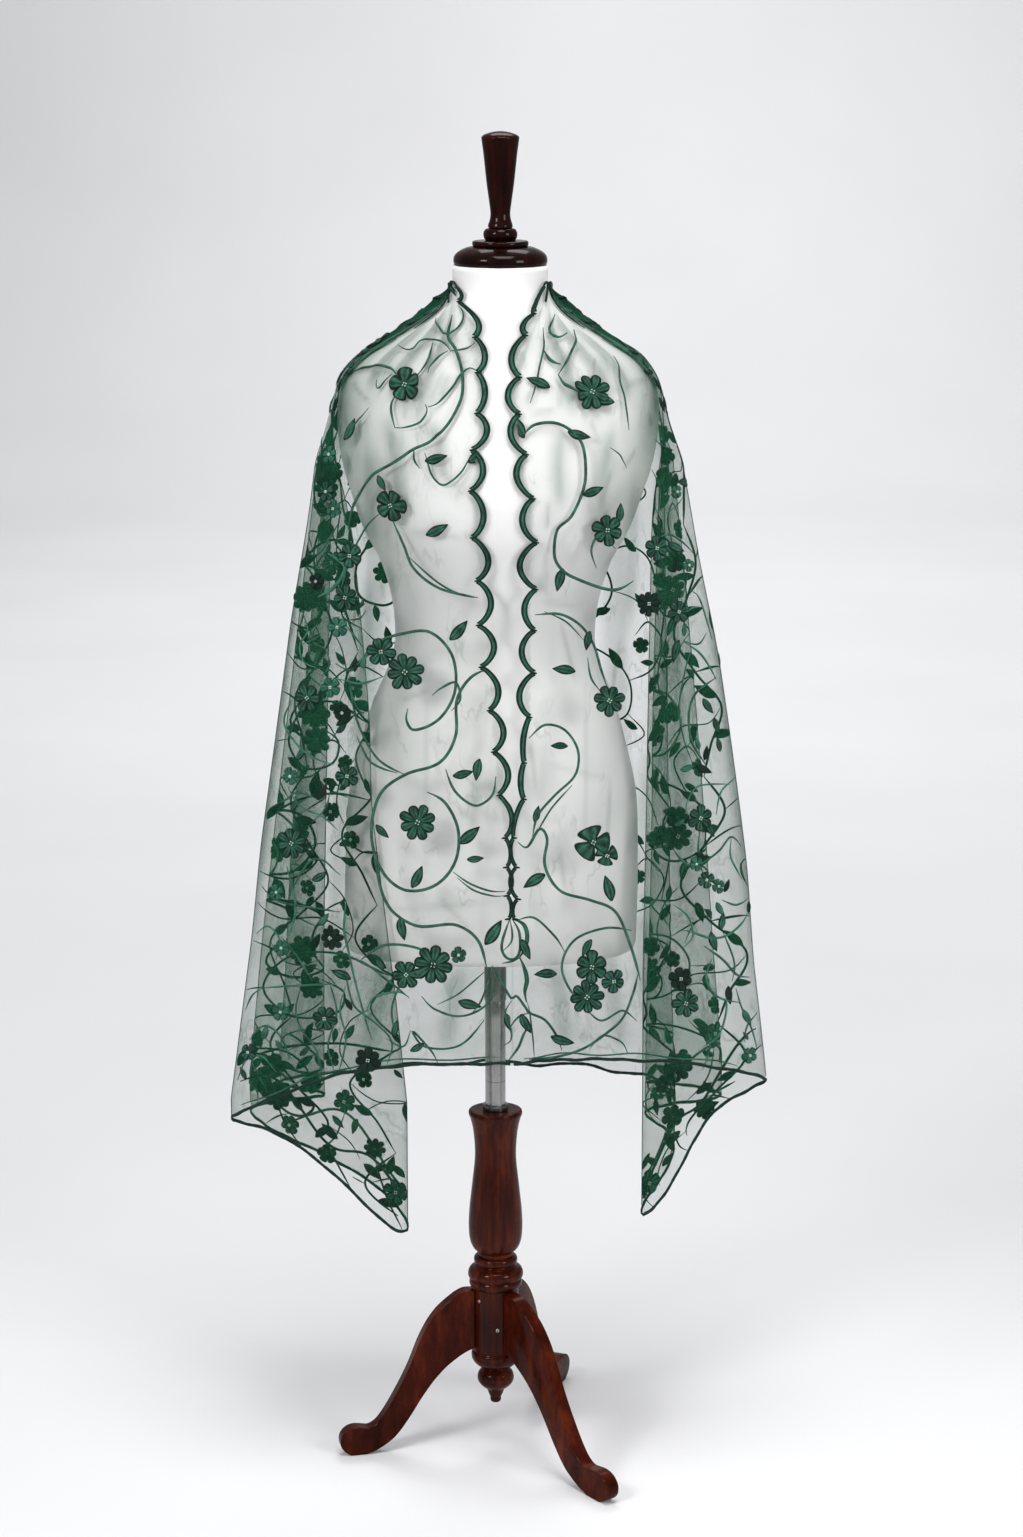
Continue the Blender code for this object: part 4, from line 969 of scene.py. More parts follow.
def makeBorder():
    pile = Pile()
    for rows, edge, sign in ((scallopsLeft, 0.0, 1.0), (scallopsRight, fullU, -1.0)):
        for top, low in zip(rows[:, 0], rows[1:, 0]):
            steps = max(int((top - low) / scallop["step"]), 6)
            h = np.linspace(top, low, steps + 1)
            arch = archOf(np.linspace(0.0, 1.0, steps + 1))
            pace = fromTable(speedU, np.full(len(h), edge), h)
            out = edgeOffset(rows, h)
            band = tapeWidth(arch) * mix(scallop["lowShare"], 1.0, ease(h, *scallop["lowFrom"]))
            outer = np.stack((edge - sign * out / pace, h), 1)
            tuck = scallop["lap"] * (1.0 - arch) * np.sign(top - h - 0.5 * (top - low))
            inner = np.stack((edge - sign * (out - band) / pace, h + tuck), 1)
            tapeBetween(pile, outer, inner)
            bar = np.linspace(-scallop["barIn"], scallop["bar"], 4)
            cusp = np.stack((edge - sign * (out[-1] - bar) / pace[-1], low - 0.10 * bar), 1)
            cordOnNet(pile, cusp, scallop["barWidth"], scallop["barRise"], (0.8, 0.6), 0.0015)
    for side, knots in enumerate(collarEnds):
        path = smoothPath(np.reshape(knots, (-1, 2)) / (100.0, mm))
        path[:, 0] = fullU - path[:, 0] if side else path[:, 0]
        cordOnNet(pile, path, scallop["collarWidth"], scallop["collarRise"], (0.7, 0.7), scallop["step"])
    neckTop = drape["collarTop"] - scallop["neckDrop"]
    total = float(fromTable(runU, np.array(fullU), np.array(neckTop)))
    count = int(round(total / scallop["neck"]))
    lengths = np.linspace(0.0, total, count + 1)
    level = levelRow(neckTop)
    for start, end in zip(lengths, lengths[1:]):
        steps = scallop["neckSteps"]
        u = np.interp(np.linspace(start, end, steps), runU[:, level], gridU)
        arch = archOf(np.linspace(0.0, 1.0, steps))
        upper = np.stack((u, neckTop - scallop["neckLow"] + arch * scallop["neckArch"]), 1)
        lower = np.stack((u, upper[:, 1] - tapeWidth(arch)), 1)
        tapeBetween(pile, upper, lower)
    return pile.build("scalloped_border", (darkThread, greenThread))


def tapeBetween(pile, outer, inner):
    cordOnNet(pile, outer, *scallop["outerCord"], (0.8, 0.8), scallop["step"])
    cordOnNet(pile, inner, *scallop["innerCord"], (0.8, 0.8), scallop["step"])
    under, over = scallop["tapeRise"]
    firstLow, secondLow, second, first = (
        onNet(line[:, 0], line[:, 1], np.full(len(line), rise))[0]
        for line, rise in ((outer, under), (inner, under), (inner, over), (outer, over)))
    rings = np.stack((firstLow, secondLow, second, first), 1)
    run = runAlong(first)
    uvs = np.stack(np.broadcast_arrays(run[:, None], np.array((0.0, 0.008, 0.008, 0.0))[None]), -1)
    pile.addRings(rings, uvs, 1)


scallopedBorder = makeBorder()
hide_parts("scalloped_border_left", "scalloped_border_right")

# Corded hem round the front ends, the tips, the sides and the back

hemCordLook = {"width": 0.0040, "thick": 0.0013, "rise": 0.0020, "wander": 0.0012, "swell": 0.16,
               "inner": ((0.2, 3.9), (34.4, 37.8)), "innerGap": 0.0085, "innerWander": 0.0018,
               "innerWidth": 0.0020, "innerThick": 0.0010}


def makeHemCord():
    pile = Pile()
    u = np.arange(0.0, fullU + 0.01, 0.05)
    h = hemAt(u) + hemCordLook["rise"]
    h = h + hemCordLook["wander"] * np.sin(u * 9.0) * np.sin(u * 3.1 + 0.7)
    cordOnNet(pile, np.stack((u, h), 1), hemCordLook["width"], hemCordLook["thick"], (1.0, 1.0), 0.004,
              section=ropeSection, base=0.0, swell=hemCordLook["swell"])
    for first, last in hemCordLook["inner"]:
        u = np.linspace(first, last, 40)
        h = hemAt(u) + hemCordLook["innerGap"] + hemCordLook["innerWander"] * np.sin(u * 5.3)
        cordOnNet(pile, np.stack((u, h), 1), hemCordLook["innerWidth"], hemCordLook["innerThick"],
                  (0.4, 0.4), 0.004, slot=1)
    return pile.build("hem_cord", (darkThread, greenThread))


hemCord = makeHemCord()
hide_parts("hem_cord_left", "hem_cord_right")
print("border and hem ready")


# Embroidery laid out one by one, u in hundredths from the left or the right front edge, heights in mm.
# Cords: width in tenths of a mm, then u and height of each knot. Flowers: u, height, size in percent, petals,
# turn in tenths of a radian. Leaves: u, height, turn as seen from in front (0 is to the right), size in percent

leftCords = (
    (46, 51, 1415, 59, 1393, 37, 1379, 25, 1360, 23, 1338, 30, 1319, 53, 1295, 86, 1276, 128, 1265, 165, 1251,
     201, 1241, 221, 1232, 262, 1200, 272, 1170),
    (34, -7, 1426, -20, 1418, 38, 1399, 68, 1394, 106, 1402, 154, 1411), (44, 99, 1385, 91, 1365, 104, 1348),
    (34, 53, 1376, 68, 1370, 82, 1357, 84, 1350), (30, -16, 1386, 11, 1379, 48, 1376),
    (36, -3, 1353, 9, 1357, 27, 1349, 41, 1335, 67, 1318, 86, 1313),
    (34, 157, 1289, 136, 1290, 105, 1296, 89, 1308, 90, 1316),
    (38, 157, 1289, 158, 1309, 151, 1320, 139, 1328),
    (42, 141, 1346, 168, 1355, 207, 1356, 262, 1353, 317, 1345),
    (28, 188, 1341, 188, 1335, 181, 1332, 167, 1342, 156, 1348),
    (26, 291, 1273, 274, 1286, 235, 1300, 211, 1310), (34, 124, 1268, 125, 1254, 112, 1244),
    (30, 192, 1378, 163, 1376, 136, 1376, 133, 1384, 96, 1388, 62, 1383, 46, 1375),
    (32, 102, 1262, 86, 1238, 58, 1226, 26, 1240, 10, 1260),
    (40, 170, 1184, 148, 1155, 130, 1128, 83, 1105, 11, 1094), (30, 138, 1141, 86, 1112, 45, 1098, 18, 1094),
    (30, 196, 1192, 230, 1172, 262, 1136, 285, 1080),
    (44, 218, 1022, 195, 1040, 154, 1051, 104, 1054, 67, 1027, 64, 986, 91, 953, 129, 939, 142, 950, 140,
     964),
    (36, 72, 962, 56, 975, 62, 995, 86, 989, 102, 980),
    (46, 2, 1011, 37, 1000, 62, 974, 67, 933, 94, 901, 144, 886, 180, 861, 190, 815, 174, 772, 144, 749, 108,
     755, 82, 783, 75, 821, 90, 853, 114, 866),
    (36, 144, 886, 186, 905, 222, 948, 245, 1000), (40, 86, 893, 74, 866, 46, 850, 16, 862, 4, 884),
    (46, 187, 800, 168, 736, 131, 707, 83, 708, 52, 689, 39, 655), (32, 85, 771, 63, 757, 34, 748, 9, 747),
    (30, 80, 764, 58, 749, 30, 742, 10, 742), (40, 199, 662, 166, 683, 125, 679, 112, 664),
    (34, 23, 653, 34, 617, 69, 599, 105, 606, 122, 622),
    (34, 43, 593, 76, 563, 117, 561, 132, 581, 110, 556, 102, 540), (26, 38, 655, 75, 628, 104, 612),
    (42, 0, 715, 13, 691, 15, 677, 6, 667, -9, 666, -18, 676, -17, 698, -4, 714),
    (32, 0, 713, -4, 698, -2, 686, 13, 676), (68, -4, 714, -24, 708, -32, 695, -28, 679, -16, 666),
    (34, 15, 661, -3, 663, -18, 667), (70, -18, 667, -26, 655, -31, 640, -27, 626, -30, 614),
    (24, -30, 614, -35, 604, -42, 567, -44, 543),
    (40, 31, 658, 18, 641, -1, 619, -12, 621, -29, 606, -36, 600, -64, 591, -85, 572, -95, 554),
    (34, -3, 616, 8, 605, 8, 595, -1, 581, -1, 568, 12, 562), (32, -36, 600, -18, 597, -3, 587, 1, 579),
    (42, -40, 589, -25, 575, -14, 558, 8, 540), (32, 31, 658, 39, 635, 49, 614, 63, 599),
    (32, 220, 655, 205, 610, 175, 590, 155, 566, 160, 540), (30, 245, 640, 230, 600, 242, 560, 230, 528),
)
rightCords = (
    (46, 6, 1279, 30, 1294, 75, 1294, 121, 1271, 126, 1231, 89, 1191, 53, 1174, 52, 1145, 70, 1128, 103, 1117,
     187, 1102, 230, 1112),
    (38, 157, 1398, 105, 1376, 81, 1362, 64, 1349), (52, 64, 1349, 75, 1338, 104, 1328),
    (30, 30, 1402, 37, 1383, 30, 1360, 26, 1338, 20, 1318), (50, 37, 1377, 50, 1366, 70, 1360),
    (40, 97, 1415, 55, 1403, 62, 1392, 87, 1391, 112, 1394), (32, 49, 1396, 75, 1391, 111, 1393),
    (28, 206, 1367, 186, 1341, 199, 1319, 222, 1285), (24, 179, 1266, 206, 1258, 222, 1243),
    (34, 195, 1150, 160, 1168, 140, 1150, 152, 1128),
    (40, 10, 1074, 66, 1075, 113, 1062, 143, 1040, 160, 1010, 172, 990), (28, 30, 1078, 80, 1066, 120, 1045),
    (32, 162, 982, 138, 1000, 130, 1024),
    (38, 2, 929, 34, 945, 80, 939, 111, 915, 107, 886, 67, 862, 36, 838, 30, 812),
    (28, 102, 874, 62, 846, 34, 812),
    (44, 2, 806, 22, 800, 42, 822, 60, 810, 60, 779, 90, 749, 144, 737, 186, 722, 209, 681, 222, 640),
    (38, 212, 699, 169, 703, 117, 690, 93, 660, 108, 630, 130, 617), (36, 4, 712, 40, 716, 80, 694, 98, 676),
    (40, 30, 545, 89, 550, 141, 563, 190, 592, 210, 621, 220, 650),
    (32, 140, 558, 162, 574, 190, 566, 200, 552), (34, 134, 608, 160, 592, 192, 604, 215, 590),
)
leftFlowers = (
    (126, 1337, 92, 5, 5), (172, 1201, 88, 5, 12), (145, 1007, 102, 8, 2), (186, 1030, 80, 6, 9),
    (128, 830, 102, 8, 3.5), (109, 660, 110, 8, 6), (140, 648, 80, 6, 1), (78, 672, 45, 5, 4),
    (262, 1140, 70, 5, 8),
)
rightFlowers = (
    (126, 1329, 100, 8, 3), (176, 1172, 86, 6, 7), (177, 973, 86, 7, 2), (148, 806, 95, 3, 19),
    (172, 790, 60, 3, 3), (146, 657, 92, 6, 5), (137, 621, 95, 8, 1), (180, 640, 66, 5, 9),
)
leftLeaves = (
    (303, 1272, 11, 100), (102, 1253, 1, 95), (14, 1252, 5, 110), (98, 1168, 3.5, 100), (70, 1045, 7, 105),
    (76, 885, 1, 85), (184, 826, -9, 75), (136, 752, 10, 100), (76, 805, 5.5, 110), (66, 786, -0.5, 70),
    (149, 716, -15, 95), (42, 684, 8.5, 120), (78, 617, -4, 100), (150, 640, 4, 70), (8, 600, -13, 90),
    (210, 640, 26, 90), (30, 905, -19, 90), (205, 1235, -12, 70), (134, 556, 4, 70),
)
rightLeaves = (
    (50, 1335, 26, 100), (174, 1317, 29, 100), (10, 1279, 20, 110), (90, 1286, -4, 95), (117, 1214, 2, 90),
    (76, 1128, -20, 95), (101, 1008, 29, 95), (88, 920, 30, 70), (62, 768, -27, 105), (180, 735, 17, 110),
    (84, 650, 31, 95), (72, 574, -4, 100), (146, 690, -22, 80), (16, 690, -13, 90), (136, 1055, -19, 80),
    (30, 830, 12, 70), (202, 1180, 13, 80), (14, 600, -12, 90),
)


def routes(rows, across):
    return [(row[0] / 10000.0, np.reshape(row[1:], (-1, 2)) / (across, mm)) for row in rows]


def satinRise(width, base=0.0008, share=0.14):
    return base + share * width


# steps of a curve, share of the cord's width that shows, its rise if it's flat, thread slots taken in turn
frontLook = {"steps": 10, "slim": 0.78, "rise": None, "cords": (0,), "flowers": (0,), "leaves": (0,)}
# slot 3 is the painted-highlight copy of the green satin, slot 1 the dark thread
wingLook = {"steps": 8, "slim": 0.80, "rise": None, "cords": (0, 3, 0, 0, 3), "flowers": (3, 0, 3, 1, 0),
            "leaves": (0, 1, 3, 0)}
shoulderLook = {"steps": 8, "slim": 1.0, "rise": 0.0016, "cords": (1, 0), "leaves": (0, 1, 1)}


def layByHand(pile, side, look, cords, flowers, leaves):
    # side 1 counts u from the right front edge
    place = (lambda u: fullU - u) if side else (lambda u: u)
    for number, (width, knots) in enumerate(routes(cords, 100.0)):
        path = smoothPath(knots, look["steps"])
        path[:, 0] = place(path[:, 0])
        cordOnNet(pile, path, look["slim"] * width, look["rise"] or satinRise(width),
                  slot=look["cords"][number % len(look["cords"])])
    for number, (u, h, size, petals, turn) in enumerate(inUnits(flowers, 100.0, mm, 100.0, 1, 10.0)):
        flowerOnNet(pile, place(u), h, size, petals, turn, look["flowers"][number % len(look["flowers"])])
    for number, (u, h, turn, size) in enumerate(inUnits(leaves, 100.0, mm, 10.0, 100.0)):
        mirrored = side and look is shoulderLook
        leafOnNet(pile, place(u), h, math.pi - turn if mirrored else turn, size,
                  slot=look["leaves"][number % len(look["leaves"])])


def makeFront():
    pile = Pile()
    layByHand(pile, 0, frontLook, leftCords, leftFlowers, leftLeaves)
    layByHand(pile, 1, frontLook, rightCords, rightFlowers, rightLeaves)
    return pile.build("front_embroidery", (greenThread, darkThread, paleThread))


frontEmbroidery = makeFront()
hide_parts(*[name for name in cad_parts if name.startswith(("flower_", "vine_"))])
print("front embroidery ready", len(frontEmbroidery.data.polygons))


# The outer layer of each wing is listed one by one as well

leftWingCords = (
    (34, 297, 1179, 352, 1141, 414, 1138), (60, 324, 1141, 273, 1127, 297, 1102, 341, 1089),
    (30, 216, 1078, 229, 1068, 256, 1065), (30, 262, 1060, 243, 1049, 218, 1035),
    (28, 396, 1072, 362, 1049, 385, 1031, 363, 1012, 319, 1006),
    (28, 333, 1060, 345, 1038, 303, 1028, 320, 1011), (28, 385, 1031, 345, 1038, 318, 1046),
    (28, 303, 1028, 290, 1012, 307, 997), (34, 276, 1013, 242, 1007, 208, 1026, 178, 1036),
    (34, 271, 996, 220, 992, 181, 1001), (32, 244, 987, 223, 964, 210, 956),
    (32, 388, 966, 410, 941, 372, 921, 315, 902, 263, 894), (36, 222, 930, 200, 903, 178, 893, 155, 888),
    (30, 419, 835, 369, 847, 337, 858, 286, 851), (30, 366, 864, 329, 842, 280, 832, 244, 818),
    (30, 267, 864, 273, 842, 299, 824), (38, 344, 769, 322, 735, 316, 712, 329, 681),
    (30, 331, 737, 300, 775, 271, 780, 235, 765), (32, 411, 742, 359, 727, 304, 723, 232, 721),
    (30, 408, 684, 374, 695, 342, 680, 346, 656), (34, 341, 685, 307, 664, 275, 636),
    (32, 371, 620, 314, 626, 232, 634), (30, 415, 591, 397, 609, 371, 620),
    (34, 295, 622, 300, 598, 287, 574, 261, 552, 249, 518),
    (34, 224, 735, 224, 699, 214, 669, 196, 616, 178, 569), (34, 216, 669, 179, 654, 136, 620),
    (34, 187, 602, 177, 620, 150, 627, 136, 620), (30, 162, 571, 142, 561, 134, 581),
    (32, 387, 556, 357, 575, 324, 565, 304, 537), (30, 411, 505, 391, 531, 355, 538, 326, 521),
    (32, 131, 658, 147, 635, 156, 605, 151, 574), (28, 224, 524, 214, 567, 225, 602, 217, 633),
)
leftWingFlowers = (
    (360, 1254, 48, 5, 5), (352, 1212, 53, 5, 5), (319, 1193, 48, 6, 5), (351, 1107, 48, 5, 2),
    (265, 1091, 72, 7, 6), (278, 1056, 58, 5, 7), (338, 970, 80, 6, 0), (283, 985, 58, 5, 8),
    (253, 956, 53, 5, 0), (235, 882, 64, 5, 7), (361, 876, 48, 4, 5), (338, 797, 88, 8, 3),
    (361, 737, 42, 4, 5), (244, 689, 69, 8, 1), (249, 591, 72, 6, 9), (326, 594, 53, 5, 3),
    (386, 541, 48, 4, 9), (336, 671, 48, 5, 8), (183, 544, 74, 7, 6),
)
leftWingLeaves = (
    (229, 1081, 11, 40), (233, 1005, 14, 64), (216, 1010, 14, 56), (264, 932, 6, 62), (333, 849, -23, 64),
    (293, 851, 9, 81), (271, 702, 7, 75), (166, 654, 21, 63), (154, 574, 12, 68), (152, 533, -9, 50),
    (358, 558, 11, 70), (385, 507, 20, 60), (288, 544, 6, 59), (207, 603, 20, 60), (331, 559, -10, 57),
    (289, 755, 4, 77), (352, 896, 8, 67),
)
# Vines bundled into the gathers on the shoulder ridge
shoulderCords = (
    (38, 130, 1442, 170, 1427, 200, 1412, 230, 1398),
    (50, 190, 1434, 250, 1416, 290, 1398, 310, 1380, 330, 1362),
    (44, 360, 1438, 460, 1420, 560, 1404, 500, 1388, 420, 1374),
    (50, 720, 1441, 800, 1424, 740, 1408, 860, 1392, 800, 1374),
    (44, 1020, 1442, 960, 1424, 1060, 1408, 1000, 1390, 1080, 1372),
    (34, 260, 1386, 300, 1372, 320, 1352, 360, 1330),
)
shoulderLeaves = (
    (230, 1421, -24, 80), (310, 1407, -22, 90), (280, 1392, 26, 70), (520, 1428, 22, 90),
    (680, 1412, -18, 90), (340, 1371, -26, 80), (330, 1352, 27, 75), (305, 1349, -28, 70),
    (360, 1341, -20, 75), (880, 1402, 6, 90), (375, 1318, -17, 70),
)
rightWingCords = (
    (26, 316, 1272, 350, 1264, 408, 1258), (26, 400, 1203, 356, 1193, 326, 1188),
    (30, 288, 1158, 325, 1163, 361, 1155, 411, 1138), (28, 370, 1115, 357, 1099, 336, 1086),
    (28, 342, 1067, 371, 1075, 415, 1074), (28, 409, 1044, 374, 1032, 337, 1037),
    (34, 335, 1037, 376, 1021, 403, 1003, 421, 988), (24, 356, 1029, 335, 1007, 313, 964, 315, 927, 328, 894),
    (38, 423, 991, 358, 978, 332, 954, 332, 918, 357, 889),
    (26, 418, 863, 361, 866, 330, 863, 311, 844, 313, 832), (34, 320, 769, 363, 785, 398, 801, 431, 788),
    (32, 398, 799, 391, 776, 419, 748), (32, 332, 813, 326, 789, 332, 753),
    (34, 361, 727, 391, 719, 434, 724), (36, 433, 708, 369, 685, 334, 683, 303, 693, 288, 695),
    (34, 282, 794, 300, 776, 320, 768), (34, 280, 726, 301, 711, 307, 687, 289, 673),
    (38, 323, 674, 353, 655, 377, 635, 408, 630), (30, 356, 691, 374, 651, 366, 628),
    (36, 335, 658, 323, 635, 339, 611, 377, 601), (28, 319, 577, 320, 550, 307, 524),
    (34, 353, 618, 350, 592, 334, 564, 309, 552), (30, 372, 619, 380, 594, 399, 566, 408, 541),
    (30, 426, 586, 390, 574, 377, 553), (30, 455, 871, 389, 858, 367, 829),
    (26, 294, 1239, 314, 1215, 297, 1181), (28, 372, 1096, 406, 1083, 434, 1035),
)
rightWingFlowers = (
    (373, 1211, 37, 4, 8), (289, 1148, 69, 6, 6), (378, 1125, 37, 4, 1), (262, 1084, 69, 8, 8),
    (334, 827, 74, 6, 4), (320, 773, 40, 4, 4), (335, 753, 48, 4, 2), (356, 744, 40, 4, 4),
    (284, 637, 69, 6, 7), (289, 607, 80, 7, 4), (385, 536, 48, 5, 8), (330, 1072, 64, 6, 2),
)
rightWingLeaves = (
    (322, 1153, -6, 85), (330, 1118, 12, 58), (338, 1043, 14, 56), (325, 1039, -20, 93), (368, 968, -11, 79),
    (354, 895, 12, 62), (345, 908, 17, 55), (397, 903, 16, 63), (393, 944, -14, 72), (336, 890, -6, 78),
    (305, 886, 1, 67), (287, 821, 3, 58), (345, 822, -12, 74), (367, 736, 10, 57), (350, 725, -12, 67),
    (352, 691, 12, 77), (336, 690, -14, 87), (358, 623, -16, 79), (382, 592, -12, 76), (325, 564, -24, 44),
    (386, 555, 20, 42), (337, 779, 25, 53),
)
# The rest of the sides and the back: one scroll repeat, dropped by half and mirrored
repeat = {"wide": 0.235, "tall": 0.300, "lift": 0.02, "rows": range(-1, 4), "level": 0.85, "seed": 7,
          "first": 4.65, "sides": 16.5, "deep": 7.5, "low": 0.020, "top": 1.435, "gap": 3.4, "bareBelow": 0.655,
          "shift": 0.006, "sway": 0.25, "thin": (0.66, 0.90), "flower": (0.70, 0.92), "leaf": (0.8, 1.05),
          "spacing": 0.0045, "shades": (0, 0, 3, 1)}
repeatCords = (  # width in tenths of a mm, then mm right and down inside the repeat
    (40, 50, 0, 72, 40, 45, 85, 18, 130, 48, 175, 82, 215, 62, 262, 50, 300),
    (38, 45, 85, 85, 60, 132, 66, 152, 104, 128, 138, 92, 132, 84, 106, 104, 92),
    (38, 48, 175, 90, 168, 140, 180, 178, 214, 176, 256, 138, 272, 110, 250, 122, 224),
    (28, 132, 66, 172, 46, 205, 60, 222, 96), (28, 178, 214, 212, 196, 228, 160, 205, 138, 186, 156),
    (26, 72, 40, 104, 18, 142, 20, 168, 0), (26, 176, 256, 200, 280, 168, 300),
    (22, 152, 104, 186, 112, 205, 138), (22, 18, 130, 0, 150, -8, 186, 4, 214),
    (22, 82, 215, 62, 236, 26, 240, 6, 262),
)
repeatFlowers = (  # mm right, mm down, size in percent, petals
    (112, 104, 98, 8), (140, 236, 98, 8), (228, 104, 78, 6), (20, 46, 72, 5), (190, 166, 62, 5),
    (8, 222, 60, 5),
)
repeatLeaves = (  # mm right, mm down, turn in tenths of a radian, size in percent
    (62, 60, -4, 100), (30, 108, 26, 100), (34, 152, -22, 90), (78, 204, 5, 100), (66, 252, 29, 90),
    (112, 58, 12, 100), (150, 126, -5, 90), (116, 172, 13, 100), (168, 200, 9, 100), (152, 272, -12, 90),
    (186, 52, 9, 80), (214, 188, -3, 80), (130, 20, 19, 80), (190, 274, 2, 80), (-4, 170, 22, 80),
    (40, 240, -17, 80), (92, 150, -14, 70), (200, 120, 6, 80),
)
flatRun = runU[:, levelRow(repeat["level"])]


def insideRepeat(u, h):
    behindGap = (np.abs(u - drape["rows"]) < repeat["gap"]) & (h < repeat["bareBelow"])
    across = (u > repeat["first"]) & (u < fullU - repeat["first"])
    return across & (h > hemAt(u) + repeat["low"]) & (h < repeat["top"]) & ~behindGap


def flatToNet(s, t):
    return np.interp(s, flatRun, gridU), drape["collarTop"] - t


def shadeAt(u, slot):
    # painted shade: motifs on the deeper layers of the side folds take the dark thread, and the
    # painted-highlight copy goes back to plain green
    return {3: 0, 0: 1, 1: 1}[int(slot)] if min(u, fullU - u) > repeat["deep"] else int(slot)


def placeRepeat(piles, originS, originT, mirror, chance):
    def across(x):
        return originS + (repeat["wide"] - x if mirror else x)

    for number, (width, knots) in enumerate(routes(repeatCords, mm)):
        path = smoothPath(knots, 8)
        u, h = flatToNet(across(path[:, 0]), originT + path[:, 1])
        good = insideRepeat(u, h)
        edges = np.flatnonzero(np.diff(np.concatenate(((0,), good.astype(int), (0,)))))
        for first, last in zip(edges[::2], edges[1::2]):
            if last - first > 3:
                middle = u[first:last].mean()
                cordOnNet(pileFor(piles, middle), np.stack((u[first:last], h[first:last]), 1),
                          width * chance.uniform(*repeat["thin"]), satinRise(width),
                          spacing=repeat["spacing"], slot=shadeAt(middle, (0, 3, 0)[number % 3]))
    for x, y, size, petals in inUnits(repeatFlowers, mm, mm, 100.0, 1):
        shift = repeat["shift"]
        u, h = flatToNet(across(x) + chance.uniform(-shift, shift), originT + y + chance.uniform(-shift, shift))
        if insideRepeat(u, h):
            flowerOnNet(pileFor(piles, u), float(u), float(h), size * chance.uniform(*repeat["flower"]), petals,
                        chance.uniform(0.0, 1.0), shadeAt(u, chance.choice(repeat["shades"])))
    for x, y, turn, size in inUnits(repeatLeaves, mm, mm, 10.0, 100.0):
        u, h = flatToNet(across(x), originT + y)
        way = math.pi - turn if mirror else turn
        if insideRepeat(u, h):
            sway = chance.uniform(-repeat["sway"], repeat["sway"])
            leafOnNet(pileFor(piles, u), float(u), float(h), way + sway,
                      size * chance.uniform(*repeat["leaf"]), slot=shadeAt(u, chance.choice(repeat["shades"])))


def pileFor(piles, u):
    if u < repeat["sides"]:
        return piles[0]
    return piles[1] if u < fullU - repeat["sides"] else piles[2]


def makeSides():
    piles = [Pile(), Pile(), Pile()]
    layByHand(piles[0], 0, wingLook, leftWingCords, leftWingFlowers, leftWingLeaves)
    layByHand(piles[2], 1, wingLook, rightWingCords, rightWingFlowers, rightWingLeaves)
    for side in (0, 1):
        layByHand(piles[2 * side], side, shoulderLook, shoulderCords, (), shoulderLeaves)
    chance = np.random.RandomState(repeat["seed"])
    across = int(math.ceil(flatRun[-1] / repeat["wide"]))
    for column in range(across):
        drop = 0.5 * repeat["tall"] * (column % 2)
        for row in repeat["rows"]:
            down = row * repeat["tall"] + drop - repeat["lift"]
            placeRepeat(piles, column * repeat["wide"], down, column % 2, chance)
    makeGarland(piles, chance)
    names = ("left_embroidery", "back_embroidery", "right_embroidery")
    threads = (greenThread, darkThread, paleThread, highlightThread)
    return [pile.build(name, threads) for pile, name in zip(piles, names)]


garland = {"height": 0.052, "swing": 0.018, "step": 0.080, "first": 4.9, "last": 15.2, "width": 0.0034,
           "flowerOut": 0.014, "leafOut": 0.006, "leaves": ((-0.018, 2.3), (0.018, 0.8)), "twig": 0.0024,
           "petals": (5, 6, 8)}


def makeGarland(piles, chance):
    # a running stem above the hem with flowers, leaves and twigs down to the cord
    first = garland["first"]
    last = garland["last"]
    garlandAlong(piles, chance, first, last)
    garlandAlong(piles, chance, fullU - last, fullU - first)


def garlandAlong(piles, chance, firstU, lastU):
    u = np.linspace(firstU, lastU, 460)
    points, _ = onNet(u, hemAt(u) + garland["height"])
    run = runAlong(points)
    h = hemAt(u) + garland["height"] + garland["swing"] * np.sin(run / garland["step"] * math.pi)
    cordOnNet(pileFor(piles, firstU), np.stack((u, h), 1), garland["width"], 0.0013,
              spacing=repeat["spacing"])
    for k in range(int(run[-1] / garland["step"])):
        at = (k + 0.5) * garland["step"]
        here = float(np.interp(at, run, u))
        level = float(np.interp(at, run, h))
        pile = pileFor(piles, here)
        side = 1.0 if k % 2 else -1.0
        flowerOnNet(pile, here, level - side * garland["flowerOut"], 0.48 + 0.3 * chance.random_sample(),
                    chance.choice(garland["petals"]), chance.uniform(0.0, 1.0), 0)
        for step, turn in garland["leaves"]:
            leafOnNet(pile, float(np.interp(at + step, run, u)), level + side * garland["leafOut"],
                      side * turn + chance.uniform(-0.3, 0.3), chance.uniform(0.65, 0.95), slot=int(k % 3 == 0))
        u2 = float(np.interp(at + 0.5 * garland["step"], run, u))
        low = float(hemAt(u2))
        knots = ((here, level), (0.6 * here + 0.4 * u2, mix(level, low, 0.5) + 0.006 * side), (u2, low + 0.004))
        cordOnNet(pile, smoothPath(knots), garland["twig"], 0.0011, spacing=repeat["spacing"])


sideEmbroidery = makeSides()
print("side and back embroidery ready", [len(piece.data.polygons) for piece in sideEmbroidery])


# The white form: its cover is one closed body, with seams and a rolled lower edge

# under: share of the size and height of each ring of the closed bottom
coverShape = {"sides": 120, "rows": 150, "roll": 0.006, "rollSteps": 6, "rollIn": 0.034,
              "under": ((0.90, 0.0002), (0.55, 0.0006), (0.12, 0.0008)),
              "seams": (math.pi / 2.0, -math.pi / 2.0, math.pi), "seamDepth": 0.0006, "seamWidth": 0.0016,
              "radius": 0.15}


